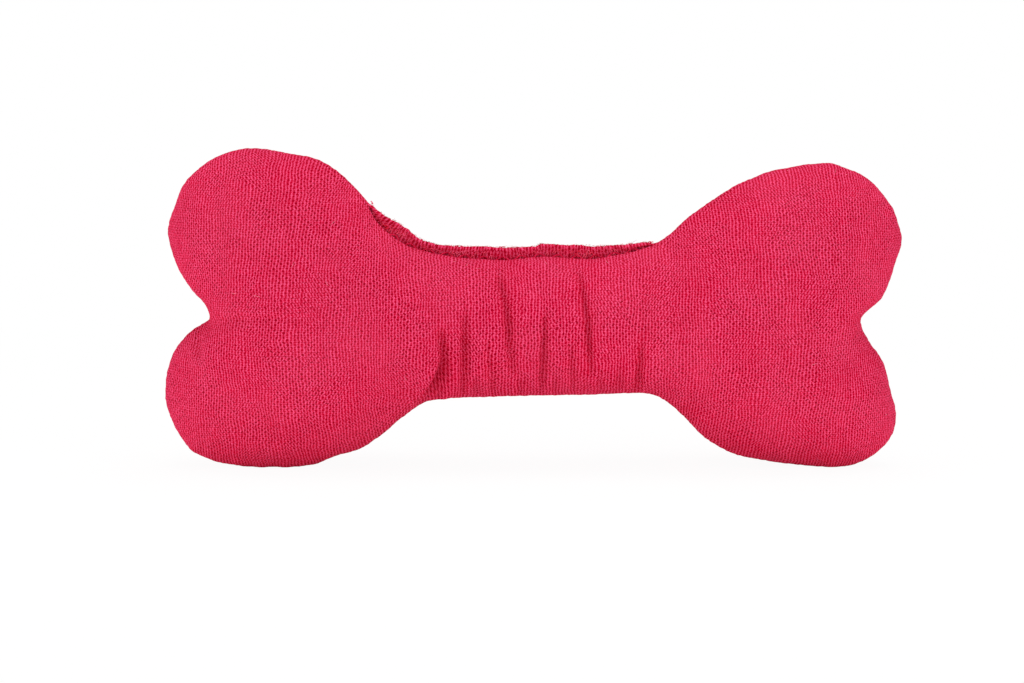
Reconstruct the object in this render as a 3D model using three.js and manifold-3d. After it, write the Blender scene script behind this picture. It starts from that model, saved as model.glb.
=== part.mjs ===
// A stuffed bone-shaped dog toy that stands on its two lower lobes.
// Two knitted panels are sewn together, turned, filled with fibre round a squeaker and sewn shut.
// Units are millimetres. X runs along the bone, Y from its front to its back, and Z up.
import * as THREE from "three";
import { mergeVertices } from "three/addons/utils/BufferGeometryUtils.js";
import Module from "manifold-3d";

const wasm = await Module();
wasm.setup();

// The stuffed bone
const toyLength = 200;
const toyThickness = 52;
const notchHeight = 40.5;
const leftEndLength = 72;
const rightEndLength = 68;
const leftNotchDepth = 12.4;
const rightNotchDepth = 11.2;
const shaftTop = 57.1;
const shaftBottom = 19.4;
const footCut = 0.5;

// The cloth, its seam and the sewn-up stuffing opening
const clothThickness = 1.2;
const seamAllowance = 4;
const clearance = 0.3;
const openingLength = 81;
const openingShift = -5;
const raisedEdge = 3.6;
const closingMargin = 6;
const threadDiameter = 0.6;
const stitchInset = 2.4;
const closingStitch = 5;

// The squeaker, which lies in the middle of the shaft with its axis along Y
const squeakerDiameter = 24;
const squeakerLength = 16;
const squeakerWall = 1.2;
const squeakerRim = 0.8;
const bellowsWall = 0.7;
const bellowsDepth = 2.4;
const bellowsFolds = 3;
const whistleDiameter = 7;
const whistleBore = 5;
const whistleLength = 5.3;
const whistleFlange = 10;
const whistleFlangeThickness = 1;
const reedWidth = 3.2;
const reedThickness = 0.3;

// How finely the solids are divided
const endColumns = 11;
const shaftColumns = 10;
const rows = 12;
const roundSteps = 28;
const smallRoundSteps = 18;
const threadSides = 4;
const seamThreadSteps = 1.4;
const closingThreadSteps = 4;
const curvePieces = 24;
const relaxSweeps = 500;
const relaxPace = 1.6;

// The outline of each lobe, from the notch between the lobes to the shaft. The flank is in shares of the
// notch's depth and the lobe's rise, the crown in shares of the end's length and the rise, and the slope
// in shares of the end's length and the drop from the crest to the shaft.
const upperLeft = {
  rise: 45.9,
  flankShares: [[0.934, 0.076], [0.605, 0.167], [0.3, 0.315]],
  crownShares: [
    [0.017, 0.5], [0.039, 0.635], [0.078, 0.783],
    [0.129, 0.87], [0.216, 0.961], [0.32, 1],
  ],
  slopeShares: [
    [0.47, 0.046], [0.583, 0.11], [0.659, 0.224], [0.759, 0.472],
    [0.794, 0.645], [0.887, 0.86], [1, 0.958],
  ],
};
const lowerLeft = {
  rise: notchHeight + footCut,
  flankShares: [[0.825, 0.043], [0.543, 0.098], [0.171, 0.249]],
  crownShares: [
    [0, 0.49], [0.009, 0.61], [0.058, 0.797], [0.096, 0.886],
    [0.161, 0.943], [0.264, 0.985], [0.377, 1],
  ],
  slopeShares: [
    [0.547, 0.028], [0.638, 0.155], [0.727, 0.243], [0.813, 0.436],
    [0.89, 0.675], [0.96, 0.853], [1, 0.925],
  ],
};
const upperRight = {
  rise: 42.1,
  flankShares: [[0.852, 0.042], [0.505, 0.121], [0.15, 0.36]],
  crownShares: [
    [0.002, 0.525], [0.02, 0.622], [0.042, 0.713],
    [0.081, 0.802], [0.137, 0.893], [0.283, 0.99],
  ],
  slopeShares: [
    [0.442, 0.05], [0.56, 0.13], [0.679, 0.276], [0.799, 0.483],
    [0.88, 0.66], [0.945, 0.81], [1, 0.885],
  ],
};
const lowerRight = {
  rise: notchHeight + footCut,
  flankShares: [[0.956, 0.063], [0.72, 0.174], [0.42, 0.3]],
  crownShares: [
    [0.033, 0.518], [0.014, 0.64], [0.022, 0.753], [0.053, 0.843],
    [0.1, 0.91], [0.181, 0.98], [0.283, 1],
  ],
  slopeShares: [
    [0.42, 0.046], [0.56, 0.11], [0.679, 0.21], [0.779, 0.416],
    [0.86, 0.68], [0.93, 0.905], [1, 1.013],
  ],
};
// The shaft's two edges, in shares of its length and of its height
const shaftTopShares = [[0.16, -0.007], [0.34, -0.022], [0.5, 0], [0.7, -0.014], [0.865, 0.018]];
const shaftBottomShares = [[0.25, -0.013], [0.5, -0.003], [0.77, 0.006]];
// How far the raw edge stands up along the stuffing opening, in shares of the opening's length and of the
// raised edge
const raisedShares = [
  [0, 0], [0.03, 0.5], [0.08, 0.88], [0.125, 0.96], [0.155, 0.8], [0.185, 0.64], [0.24, 0.64],
  [0.31, 0.76], [0.385, 0.92], [0.485, 0.86], [0.572, 0.74], [0.586, 0.9], [0.65, 0.9],
  [0.72, 0.96], [0.79, 0.82], [0.855, 0.66], [0.94, 0.4], [1, 0],
];
// How far the cloth's rim rolls in and tucks under before its seam allowance, in shares of its thickness
const rolledShare = 0.35;
const tuckedShare = 0.8;

const seamHalfGap = clearance / 2;
const edgeHeight = seamHalfGap + clothThickness;
const threadRadius = threadDiameter / 2;
const leftShaftX = leftEndLength - toyLength / 2;
const rightShaftX = toyLength / 2 - rightEndLength;
const openingLeft = openingShift - openingLength / 2;
const openingRight = openingShift + openingLength / 2;
const columns = endColumns + shaftColumns + endColumns;

// Colours and finishes
const pinkKnit = new THREE.MeshStandardMaterial({ color: 0xda2f58, roughness: 0.95, metalness: 0 });
const pinkThread = new THREE.MeshStandardMaterial({ color: 0xc21f48, roughness: 0.8, metalness: 0 });
const whiteFibre = new THREE.MeshStandardMaterial({ color: 0xf2f0ec, roughness: 1, metalness: 0 });
const milkyPlastic = new THREE.MeshStandardMaterial({ color: 0xe6e4da, roughness: 0.45, metalness: 0 });
const whitePlastic = new THREE.MeshStandardMaterial({ color: 0xf5f5f2, roughness: 0.4, metalness: 0 });

function smoothStep(share) {
  const t = Math.min(1, Math.max(0, share));
  return t * t * (3 - 2 * t);
}

function mix(a, b, share) {
  return a + (b - a) * share;
}

// Outline points of one lobe, from its notch to the shaft. side is -1 at the left end and 1 at the right,
// and up is 1 for an upper lobe and -1 for a lower one.
function lobePoints(lobe, side, up) {
  const tip = (side * toyLength) / 2;
  const endLength = side < 0 ? leftEndLength : rightEndLength;
  const notchDepth = side < 0 ? leftNotchDepth : rightNotchDepth;
  const crest = notchHeight + up * lobe.rise;
  const shaftZ = up > 0 ? shaftTop : shaftBottom;
  const at = (along, height) => new THREE.Vector3(tip - side * along, 0, height);
  return [
    ...lobe.flankShares.map(([a, b]) => at(a * notchDepth, notchHeight + up * b * lobe.rise)),
    ...lobe.crownShares.map(([a, b]) => at(a * endLength, notchHeight + up * b * lobe.rise)),
    ...lobe.slopeShares.map(([a, b]) => at(a * endLength, mix(crest, shaftZ, b))),
  ];
}

function shaftPoints(shares, baseZ) {
  const length = rightShaftX - leftShaftX;
  const height = shaftTop - shaftBottom;
  return shares.map(([a, b]) => new THREE.Vector3(leftShaftX + a * length, 0, baseZ + b * height));
}

// The closed outline, clockwise from the left notch, with the places that the four edges of the grid need
function makeOutline() {
  const lobes = {
    upperLeft: lobePoints(upperLeft, -1, 1),
    upperRight: lobePoints(upperRight, 1, 1).reverse(),
    lowerRight: lobePoints(lowerRight, 1, -1),
    lowerLeft: lobePoints(lowerLeft, -1, -1).reverse(),
  };
  const leftNotch = new THREE.Vector3(leftNotchDepth - toyLength / 2, 0, notchHeight);
  const rightNotch = new THREE.Vector3(toyLength / 2 - rightNotchDepth, 0, notchHeight);
  const points = [
    leftNotch,
    ...lobes.upperLeft,
    ...shaftPoints(shaftTopShares, shaftTop),
    ...lobes.upperRight,
    rightNotch,
    ...lobes.lowerRight,
    ...shaftPoints(shaftBottomShares, shaftBottom).reverse(),
    ...lobes.lowerLeft,
  ];
  const cornerOf = (lobe) => lobe.flankShares.length + 1;
  const find = (point) => points.indexOf(point);
  const place = {
    leftNotch: 0,
    upperLeft: find(lobes.upperLeft[cornerOf(upperLeft)]),
    topShaftLeft: find(lobes.upperLeft.at(-1)),
    topShaftRight: find(lobes.upperRight[0]),
    upperRight: find(lobes.upperRight.at(-1 - cornerOf(upperRight))),
    rightNotch: find(rightNotch),
    lowerRight: find(lobes.lowerRight[cornerOf(lowerRight)]),
    bottomShaftRight: find(lobes.lowerRight.at(-1)),
    bottomShaftLeft: find(lobes.lowerLeft[0]),
    lowerLeft: find(lobes.lowerLeft.at(-1 - cornerOf(lowerLeft))),
    end: points.length,
  };
  const curve = new THREE.CatmullRomCurve3(points, true, "centripetal");
  return { curve, place, count: points.length };
}

const outline = makeOutline();

// Points at even distances along the outline between two of its places
function stretch(from, to, pieces) {
  const finePieces = (to - from) * curvePieces;
  const fine = [];
  const travelled = [0];
  for (let n = 0; n <= finePieces; n += 1) {
    fine.push(outline.curve.getPoint(mix(from, to, n / finePieces) / outline.count));
    if (n > 0) travelled.push(travelled[n - 1] + fine[n].distanceTo(fine[n - 1]));
  }
  const total = travelled[finePieces];
  const result = [];
  let k = 1;
  for (let n = 0; n <= pieces; n += 1) {
    const target = (total * n) / pieces;
    while (k < finePieces && travelled[k] < target) k += 1;
    const share = (target - travelled[k - 1]) / (travelled[k] - travelled[k - 1]);
    result.push(fine[k - 1].clone().lerp(fine[k], share));
  }
  return result;
}

// One edge of the grid, made of several stretches end to end
function edge(...stretches) {
  return stretches.flatMap((points, n) => (n > 0 ? points.slice(1) : points));
}

// The grid over the flat pattern: columns run up the bone and rows run along it
function makePattern() {
  const at = outline.place;
  const half = rows / 2;
  const top = edge(
    stretch(at.upperLeft, at.topShaftLeft, endColumns),
    stretch(at.topShaftLeft, at.topShaftRight, shaftColumns),
    stretch(at.topShaftRight, at.upperRight, endColumns),
  );
  const bottom = edge(
    stretch(at.lowerRight, at.bottomShaftRight, endColumns),
    stretch(at.bottomShaftRight, at.bottomShaftLeft, shaftColumns),
    stretch(at.bottomShaftLeft, at.lowerLeft, endColumns),
  ).reverse();
  const left = edge(stretch(at.lowerLeft, at.end, half), stretch(at.leftNotch, at.upperLeft, half));
  const right = edge(
    stretch(at.upperRight, at.rightNotch, half),
    stretch(at.rightNotch, at.lowerRight, half),
  ).reverse();
  const grid = [];
  for (let i = 0; i <= columns; i += 1) {
    const nearLeft = 1 - smoothStep(i / endColumns);
    const nearRight = 1 - smoothStep((columns - i) / endColumns);
    for (let j = 0; j <= rows; j += 1) {
      const v = (1 - Math.cos((Math.PI * j) / rows)) / 2;
      const point = bottom[i].clone().lerp(top[i], v);
      const leftChord = bottom[0].clone().lerp(top[0], v);
      const rightChord = bottom[columns].clone().lerp(top[columns], v);
      point.addScaledVector(left[j].clone().sub(leftChord), nearLeft);
      point.addScaledVector(right[j].clone().sub(rightChord), nearRight);
      grid.push(point);
    }
  }
  return { grid, top };
}

const pattern = makePattern();

function gridIndex(i, j) {
  return i * (rows + 1) + j;
}

// Two triangles for each cell, anticlockwise from the front, split towards the bone's middle
function gridFaces() {
  const faces = [];
  for (let i = 0; i < columns; i += 1) {
    for (let j = 0; j < rows; j += 1) {
      const [a, b] = [gridIndex(i, j), gridIndex(i + 1, j)];
      const [c, d] = [gridIndex(i + 1, j + 1), gridIndex(i, j + 1)];
      const rising = i < columns / 2 === j < rows / 2;
      if (rising) faces.push([a, b, c], [a, c, d]);
      else faces.push([a, b, d], [b, c, d]);
    }
  }
  return faces;
}

const cells = gridFaces();

// The grid points round the rim, anticlockwise from the lower left corner
function rimLoop() {
  const loop = [];
  for (let i = 0; i < columns; i += 1) loop.push(gridIndex(i, 0));
  for (let j = 0; j < rows; j += 1) loop.push(gridIndex(columns, j));
  for (let i = columns; i > 0; i -= 1) loop.push(gridIndex(i, rows));
  for (let j = rows; j > 0; j -= 1) loop.push(gridIndex(0, j));
  return loop;
}

const rim = rimLoop();
const rimPoints = rim.map((k) => pattern.grid[k]);
const rimNormals = rimPoints.map((point, r) => {
  const next = rimPoints[(r + 1) % rim.length];
  const last = rimPoints[(r + rim.length - 1) % rim.length];
  const along = next.clone().sub(last);
  return new THREE.Vector3(along.z, 0, -along.x).normalize();
});

// How high a blown-up pattern swells at each grid point, from 0 at the seam to 1 at its fullest: the square
// root of the height of a film under even pressure, relaxed over the grid
function swelling() {
  const count = pattern.grid.length;
  const links = Array.from({ length: count }, () => new Map());
  const areas = new Array(count).fill(0);
  const link = (a, b, weight) => {
    links[a].set(b, (links[a].get(b) ?? 0) + weight);
    links[b].set(a, (links[b].get(a) ?? 0) + weight);
  };
  for (const face of cells) {
    for (let n = 0; n < 3; n += 1) {
      const [a, b, c] = [face[n], face[(n + 1) % 3], face[(n + 2) % 3]];
      const toB = pattern.grid[b].clone().sub(pattern.grid[a]);
      const toC = pattern.grid[c].clone().sub(pattern.grid[a]);
      const doubleArea = toB.clone().cross(toC).length();
      link(b, c, toB.dot(toC) / doubleArea / 2);
      areas[a] += doubleArea / 6;
    }
  }
  const onRim = new Set(rim);
  const film = new Array(count).fill(0);
  for (let sweep = 0; sweep < relaxSweeps; sweep += 1) {
    for (let k = 0; k < count; k += 1) {
      if (onRim.has(k)) continue;
      let pull = areas[k];
      let total = 0;
      for (const [other, weight] of links[k]) {
        pull += weight * film[other];
        total += weight;
      }
      film[k] += relaxPace * (pull / total - film[k]);
    }
  }
  const fullest = Math.max(...film);
  return film.map((height) => Math.sqrt(Math.max(0, height) / fullest));
}

// The outside of the front panel, and the direction in which its cloth faces at each grid point
function makeOuter() {
  const full = toyThickness / 2;
  const swell = Math.sqrt(full * full - edgeHeight * edgeHeight);
  const points = swelling().map((share, k) => {
    const depth = Math.hypot(swell * share, edgeHeight);
    return new THREE.Vector3(pattern.grid[k].x, -depth, pattern.grid[k].z);
  });
  const normals = points.map(() => new THREE.Vector3());
  for (const [a, b, c] of cells) {
    const normal = points[b].clone().sub(points[a]).cross(points[c].clone().sub(points[a]));
    for (const k of [a, b, c]) normals[k].add(normal);
  }
  normals.forEach((normal) => normal.normalize());
  return { points, normals };
}

const outer = makeOuter();

// The front surface moved into the toy by a distance. Its rim lies level, at a height over the seam plane.
function insetSurface(distance, rimHeight) {
  const points = outer.points.map((point, k) => point.clone().addScaledVector(outer.normals[k], -distance));
  rim.forEach((k, r) => {
    points[k] = rimPoints[r].clone().addScaledVector(rimNormals[r], -distance);
    points[k].y = -rimHeight;
  });
  return points;
}

// A point of the front half, moved to the same place in the back half
function mirrored(point) {
  return new THREE.Vector3(point.x, -point.y, point.z);
}

function makeGeometry(points, faces) {
  const geometry = new THREE.BufferGeometry();
  const numbers = points.flatMap((point) => [point.x, point.y, point.z]);
  geometry.setAttribute("position", new THREE.Float32BufferAttribute(numbers, 3));
  geometry.setIndex(faces.flat());
  return geometry;
}

function toSolid(geometry) {
  let bare = geometry.clone();
  bare.deleteAttribute("normal");
  bare.deleteAttribute("uv");
  bare = mergeVertices(bare);
  const mesh = new wasm.Mesh({
    numProp: 3,
    vertProperties: new Float32Array(bare.attributes.position.array),
    triVerts: new Uint32Array(bare.index.array),
  });
  return new wasm.Manifold(mesh);
}

function toGeometry(solid) {
  const mesh = solid.getMesh();
  const geometry = new THREE.BufferGeometry();
  geometry.setAttribute("position", new THREE.Float32BufferAttribute(mesh.vertProperties, 3));
  geometry.setIndex([...mesh.triVerts]);
  geometry.computeVertexNormals();
  return geometry;
}

// A closed box between two corners
function boxSolid(low, high) {
  const size = new THREE.Vector3().subVectors(high, low);
  const geometry = new THREE.BoxGeometry(size.x, size.y, size.z);
  geometry.translate((low.x + high.x) / 2, (low.y + high.y) / 2, (low.z + high.z) / 2);
  return toSolid(geometry);
}

// How far the raw edge stands up at a place on the rim, as a share of the raised edge
function openingShare(point) {
  if (point.z < notchHeight || point.x < openingLeft || point.x > openingRight) return 0;
  const along = (point.x - openingLeft) / openingLength;
  const n = Math.max(1, raisedShares.findIndex(([a]) => a >= along));
  const [[a, low], [b, high]] = [raisedShares[n - 1], raisedShares[n]];
  return mix(low, high, (along - a) / (b - a));
}

// One panel of the cover, as a shell of cloth. Its rim rolls in to the seam and ends in a seam allowance
// inside the toy. Along the stuffing opening the back panel's raw edge stands up instead of rolling in.
function panel(isBack) {
  const inner = insetSurface(clothThickness, edgeHeight);
  const points = [...outer.points, ...inner];
  const faces = cells.flatMap(([a, b, c]) => {
    const shift = outer.points.length;
    return [[a, b, c], [a + shift, c + shift, b + shift]];
  });
  const rolled = (share) => mix(-rolledShare * clothThickness, raisedEdge, share);
  const rolledHeight = (share) => mix(seamHalfGap + clothThickness / 2, edgeHeight, share);
  const tucked = (share) => mix(-tuckedShare * clothThickness, raisedEdge, share);
  const ring = (outward, height) => {
    const first = points.length;
    rimPoints.forEach((point, r) => {
      const share = isBack ? openingShare(point) : 0;
      const moved = point.clone().addScaledVector(rimNormals[r], outward(share));
      moved.y = -height(share);
      points.push(moved);
    });
    return rim.map((_, r) => first + r);
  };
  const rings = [
    rim,
    ring(rolled, rolledHeight),
    ring(tucked, () => seamHalfGap),
    ring(() => -seamAllowance, () => seamHalfGap),
    ring(() => -seamAllowance, () => edgeHeight),
    rim.map((k) => k + outer.points.length),
  ];
  for (let n = 0; n + 1 < rings.length; n += 1) {
    for (let r = 0; r < rim.length; r += 1) {
      const s = (r + 1) % rim.length;
      const [a, b, c, d] = [rings[n][s], rings[n][r], rings[n + 1][r], rings[n + 1][s]];
      faces.push([a, b, c], [a, c, d]);
    }
  }
  if (isBack) faces.forEach((face) => face.reverse());
  const placed = isBack ? points.map(mirrored) : points;
  const aboveFloor = boxSolid(
    new THREE.Vector3(-toyLength, -toyLength, 0),
    new THREE.Vector3(toyLength, toyLength, toyLength),
  );
  return toGeometry(toSolid(makeGeometry(placed, faces)).intersect(aboveFloor));
}

// The whole filling: it lies close under both panels, and its edge stays clear of the seam allowances
function fillingSolid() {
  const front = insetSurface(clothThickness + clearance, seamHalfGap);
  const back = front.map(mirrored);
  const shift = front.length;
  const faces = cells.flatMap(([a, b, c]) => [[a, b, c], [a + shift, c + shift, b + shift]]);
  rim.forEach((k, r) => {
    const next = rim[(r + 1) % rim.length];
    faces.push([next, k, k + shift], [next, k + shift, next + shift]);
  });
  const edgeShape = new THREE.Shape(
    rimPoints.map((point, r) => {
      const moved = point.clone().addScaledVector(rimNormals[r], -seamAllowance - clearance);
      return new THREE.Vector2(moved.x, moved.z);
    }),
  );
  const slab = new THREE.ExtrudeGeometry(edgeShape, { depth: toyThickness, bevelEnabled: false });
  slab.translate(0, 0, -toyThickness / 2);
  slab.rotateX(Math.PI / 2);
  return toSolid(makeGeometry([...front, ...back], faces)).intersect(toSolid(slab));
}

// The part of a solid between two corners, drawn in by half the clearance on every side
function between(solid, low, high) {
  const half = new THREE.Vector3(clearance, clearance, clearance).divideScalar(2);
  return solid.intersect(boxSolid(low.clone().add(half), high.clone().sub(half)));
}

const squeakerPlace = new THREE.Vector3((leftShaftX + rightShaftX) / 2, 0, (shaftTop + shaftBottom) / 2);

// The room that the squeaker and the flange of its whistle take in the filling
function squeakerRoom() {
  const radius = squeakerDiameter / 2 + clearance;
  const half = squeakerLength / 2 + clearance;
  const flangeRadius = whistleFlange / 2 + clearance;
  const end = half + whistleFlangeThickness + clearance;
  const geometry = revolve([
    [0, -half],
    [radius, -half],
    [radius, half],
    [flangeRadius, half],
    [flangeRadius, end],
    [0, end],
  ]);
  geometry.translate(squeakerPlace.x, squeakerPlace.y, squeakerPlace.z);
  return toSolid(geometry);
}

// A body of revolution round Y. Its profile of radii and heights runs anticlockwise.
function revolve(profile, steps = roundSteps) {
  const points = profile.map(([radius, height]) => new THREE.Vector2(radius, height));
  if (profile[0][0] > 0) points.push(points[0].clone());
  return new THREE.LatheGeometry(points, steps);
}

// A tube of thread along a curve
function threadAlong(curve, steps) {
  const section = new THREE.Shape();
  for (let n = 0; n < threadSides; n += 1) {
    const angle = (2 * Math.PI * n) / threadSides;
    const [x, y] = [threadRadius * Math.cos(angle), threadRadius * Math.sin(angle)];
    if (n === 0) section.moveTo(x, y);
    else section.lineTo(x, y);
  }
  section.closePath();
  return new THREE.ExtrudeGeometry(section, { steps, extrudePath: curve, bevelEnabled: false });
}

// The seam's thread on one seam allowance, from one end of the stuffing opening round to the other.
// side is -1 for the needle's thread at the front and 1 for the bobbin's thread at the back.
function seamThread(side) {
  const sewn = [];
  const topLeft = rim.indexOf(gridIndex(0, rows));
  for (let n = 0; n < rim.length; n += 1) {
    const r = (topLeft + n) % rim.length;
    const { x, z } = rimPoints[r];
    const inOpening = z > notchHeight && x > openingLeft && x < openingRight;
    if (!inOpening) sewn.push(r);
  }
  const isFar = (r, n) => n > 0 && rimPoints[r].distanceTo(rimPoints[sewn[n - 1]]) > openingLength / 2;
  const start = sewn.findIndex(isFar);
  const ordered = start > 0 ? [...sewn.slice(start), ...sewn.slice(0, start)] : sewn;
  const height = side * (edgeHeight + clearance + threadRadius);
  const points = ordered.map((r) => {
    const point = rimPoints[r].clone().addScaledVector(rimNormals[r], -stitchInset);
    point.y = height;
    return point;
  });
  const curve = new THREE.CatmullRomCurve3(points, false, "centripetal");
  return threadAlong(curve, Math.round(points.length * seamThreadSteps));
}

// A place on the top edge of the pattern above or below which x lies, with the edge's outward direction
function topEdgeAt(x) {
  const { top } = pattern;
  const n = top.findIndex((point, k) => k > endColumns / 2 && point.x > x);
  const share = (x - top[n - 1].x) / (top[n].x - top[n - 1].x);
  const along = top[n].clone().sub(top[n - 1]).normalize();
  return { point: top[n - 1].clone().lerp(top[n], share), normal: new THREE.Vector3(-along.z, 0, along.x) };
}

// The thread that closes the stuffing opening: it goes to and fro between the front panel's rolled edge
// and the back panel's raised edge
function closingThread() {
  const reach = openingLength - 2 * closingMargin;
  const stitches = Math.round(reach / closingStitch);
  const points = [];
  for (let n = 0; n <= 2 * stitches; n += 1) {
    const { point, normal } = topEdgeAt(openingLeft + closingMargin + (reach * n) / (2 * stitches));
    const isHigh = n % 2 === 1;
    const rise = isHigh ? (raisedEdge * openingShare(point)) / 2 : 0;
    point.addScaledVector(normal, clearance + threadDiameter + rise);
    point.y = isHigh ? seamHalfGap - clearance - threadRadius : -edgeHeight - clearance;
    points.push(point);
  }
  const curve = new THREE.CatmullRomCurve3(points, false, "centripetal");
  return threadAlong(curve, closingThreadSteps * stitches);
}

const toy = new THREE.Group();

function addPart(name, geometry, material, parent = toy) {
  const mesh = new THREE.Mesh(geometry, material);
  mesh.name = name;
  parent.add(mesh);
}

function addCover() {
  addPart("front_panel", panel(false), pinkKnit);
  addPart("back_panel", panel(true), pinkKnit);
  addPart("needle_thread", seamThread(-1), pinkThread);
  addPart("bobbin_thread", seamThread(1), pinkThread);
  addPart("closing_thread", closingThread(), pinkThread);
}

// The filling, as the five wads that it is pushed in as. The shaft's wad parts round the squeaker.
function addFilling() {
  const filling = fillingSolid();
  const far = toyLength;
  const corner = (x, y, z) => new THREE.Vector3(x, y, z);
  const wads = {
    filling_upper_left: [corner(-far, -far, notchHeight), corner(leftShaftX, far, far)],
    filling_lower_left: [corner(-far, -far, -far), corner(leftShaftX, far, notchHeight)],
    filling_upper_right: [corner(rightShaftX, -far, notchHeight), corner(far, far, far)],
    filling_lower_right: [corner(rightShaftX, -far, -far), corner(far, far, notchHeight)],
  };
  for (const [name, [low, high]] of Object.entries(wads)) {
    addPart(name, toGeometry(between(filling, low, high)), whiteFibre);
  }
  const middle = between(filling, corner(leftShaftX, -far, -far), corner(rightShaftX, far, far));
  const shaft = middle.subtract(squeakerRoom());
  const front = between(shaft, corner(-far, -far, -far), corner(far, 0, far));
  const back = between(shaft, corner(-far, 0, -far), corner(far, far, far));
  addPart("filling_shaft_front", toGeometry(front), whiteFibre);
  addPart("filling_shaft_back", toGeometry(back), whiteFibre);
}

// The squeaker: a bellows between two discs, with a reed whistle in the back one
function addSqueaker() {
  const group = new THREE.Group();
  group.position.copy(squeakerPlace);
  toy.add(group);
  const radius = squeakerDiameter / 2;
  const end = squeakerLength / 2;
  const inside = end - squeakerWall;
  const rimEnd = inside - squeakerRim;
  const socket = whistleDiameter / 2 + clearance;
  const whistleEnd = end + clearance - whistleLength;
  addPart(
    "squeaker_press",
    revolve([
      [0, -end],
      [radius - squeakerRim, -end],
      [radius, squeakerRim - end],
      [radius, -rimEnd],
      [radius - squeakerWall, -rimEnd],
      [radius - squeakerWall, -inside],
      [0, -inside],
    ]),
    milkyPlastic,
    group,
  );
  addPart(
    "squeaker_base",
    revolve([
      [socket, whistleEnd + clearance],
      [socket + squeakerWall, whistleEnd + clearance],
      [socket + squeakerWall, inside],
      [radius - squeakerWall, inside],
      [radius - squeakerWall, rimEnd],
      [radius, rimEnd],
      [radius, end - squeakerRim],
      [radius - squeakerRim, end],
      [socket, end],
    ]),
    milkyPlastic,
    group,
  );
  addPart("squeaker_bellows", bellows(radius, inside - clearance, rimEnd - clearance), milkyPlastic, group);
  addWhistle(group, end + clearance, whistleEnd);
}

// The accordion wall between the two discs. Its ends stand inside the discs' rims.
function bellows(radius, end, foldEnd) {
  const foot = radius - squeakerWall - clearance;
  const outerWall = [[foot, -end], [foot, -foldEnd]];
  const steps = 2 * bellowsFolds;
  for (let n = 1; n < steps; n += 1) {
    const height = mix(-foldEnd, foldEnd, n / steps);
    outerWall.push([n % 2 === 1 ? radius : radius - bellowsDepth, height]);
  }
  outerWall.push([foot, foldEnd], [foot, end]);
  const innerWall = outerWall.map(([r, height]) => [r - bellowsWall, height]).reverse();
  return revolve([...outerWall, ...innerWall]);
}

// The whistle: a flanged tube through the base, a half-round plug in its bore, and the reed over the plug
function addWhistle(group, flangeStart, innerEnd) {
  const bore = whistleBore / 2;
  const tube = whistleDiameter / 2;
  const flangeEnd = flangeStart + whistleFlangeThickness;
  addPart(
    "whistle_tube",
    revolve(
      [
        [bore, innerEnd],
        [tube, innerEnd],
        [tube, flangeStart],
        [whistleFlange / 2, flangeStart],
        [whistleFlange / 2, flangeEnd],
        [bore, flangeEnd],
      ],
      smallRoundSteps,
    ),
    whitePlastic,
    group,
  );
  const plugRadius = bore - clearance;
  const plugShape = new THREE.Shape();
  plugShape.absarc(0, 0, plugRadius, Math.PI, 2 * Math.PI, false);
  plugShape.closePath();
  const plug = new THREE.ExtrudeGeometry(plugShape, {
    depth: flangeStart - innerEnd,
    bevelEnabled: false,
    curveSegments: smallRoundSteps / 2,
  });
  plug.rotateX(Math.PI / 2);
  plug.translate(0, flangeStart, 0);
  addPart("whistle_plug", plug, whitePlastic, group);
  const reedShape = new THREE.Shape();
  const reedLength = flangeEnd - innerEnd;
  const tipRadius = reedWidth / 2;
  reedShape.moveTo(-tipRadius, 0);
  reedShape.lineTo(tipRadius, 0);
  reedShape.lineTo(tipRadius, reedLength - tipRadius);
  reedShape.absarc(0, reedLength - tipRadius, tipRadius, 0, Math.PI, false);
  reedShape.closePath();
  const reed = new THREE.ExtrudeGeometry(reedShape, {
    depth: reedThickness,
    bevelEnabled: false,
    curveSegments: smallRoundSteps / 3,
  });
  reed.translate(0, innerEnd, clearance);
  addPart("reed", reed, whitePlastic, group);
}

addCover();
addFilling();
addSqueaker();

export default toy;
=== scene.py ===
"""The looks of a stuffed bone-shaped dog toy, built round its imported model.

Lengths are in millimetres until a mesh, lamp or camera is made. X runs along the bone, Y from its
front to its back, and Z up.
"""

import math

import bpy
import numpy as np
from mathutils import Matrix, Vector
from mathutils.bvhtree import BVHTree
from mathutils.geometry import delaunay_2d_cdt


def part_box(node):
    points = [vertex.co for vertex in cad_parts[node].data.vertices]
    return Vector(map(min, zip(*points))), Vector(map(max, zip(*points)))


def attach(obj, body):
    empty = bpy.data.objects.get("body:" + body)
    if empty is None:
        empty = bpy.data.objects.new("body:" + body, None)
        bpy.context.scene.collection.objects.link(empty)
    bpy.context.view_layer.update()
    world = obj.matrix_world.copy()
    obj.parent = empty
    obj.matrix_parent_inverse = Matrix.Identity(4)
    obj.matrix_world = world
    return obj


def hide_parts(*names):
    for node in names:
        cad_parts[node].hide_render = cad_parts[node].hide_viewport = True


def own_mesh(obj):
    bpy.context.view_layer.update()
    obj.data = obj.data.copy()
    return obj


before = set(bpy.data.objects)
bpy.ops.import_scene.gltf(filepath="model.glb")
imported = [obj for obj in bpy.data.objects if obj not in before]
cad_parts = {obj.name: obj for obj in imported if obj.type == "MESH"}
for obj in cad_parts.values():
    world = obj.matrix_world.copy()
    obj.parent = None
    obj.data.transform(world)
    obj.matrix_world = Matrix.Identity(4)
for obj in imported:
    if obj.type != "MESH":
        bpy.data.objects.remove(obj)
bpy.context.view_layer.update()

METRES = 0.001

# The stuffed bone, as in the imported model
toy_length = 200
toy_thickness = 52
notch_height = 40.5
left_end_length = 72
right_end_length = 68
left_notch_depth = 12.4
right_notch_depth = 11.2
shaft_top = 57.1
shaft_bottom = 19.4
foot_cut = 0.5

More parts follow.
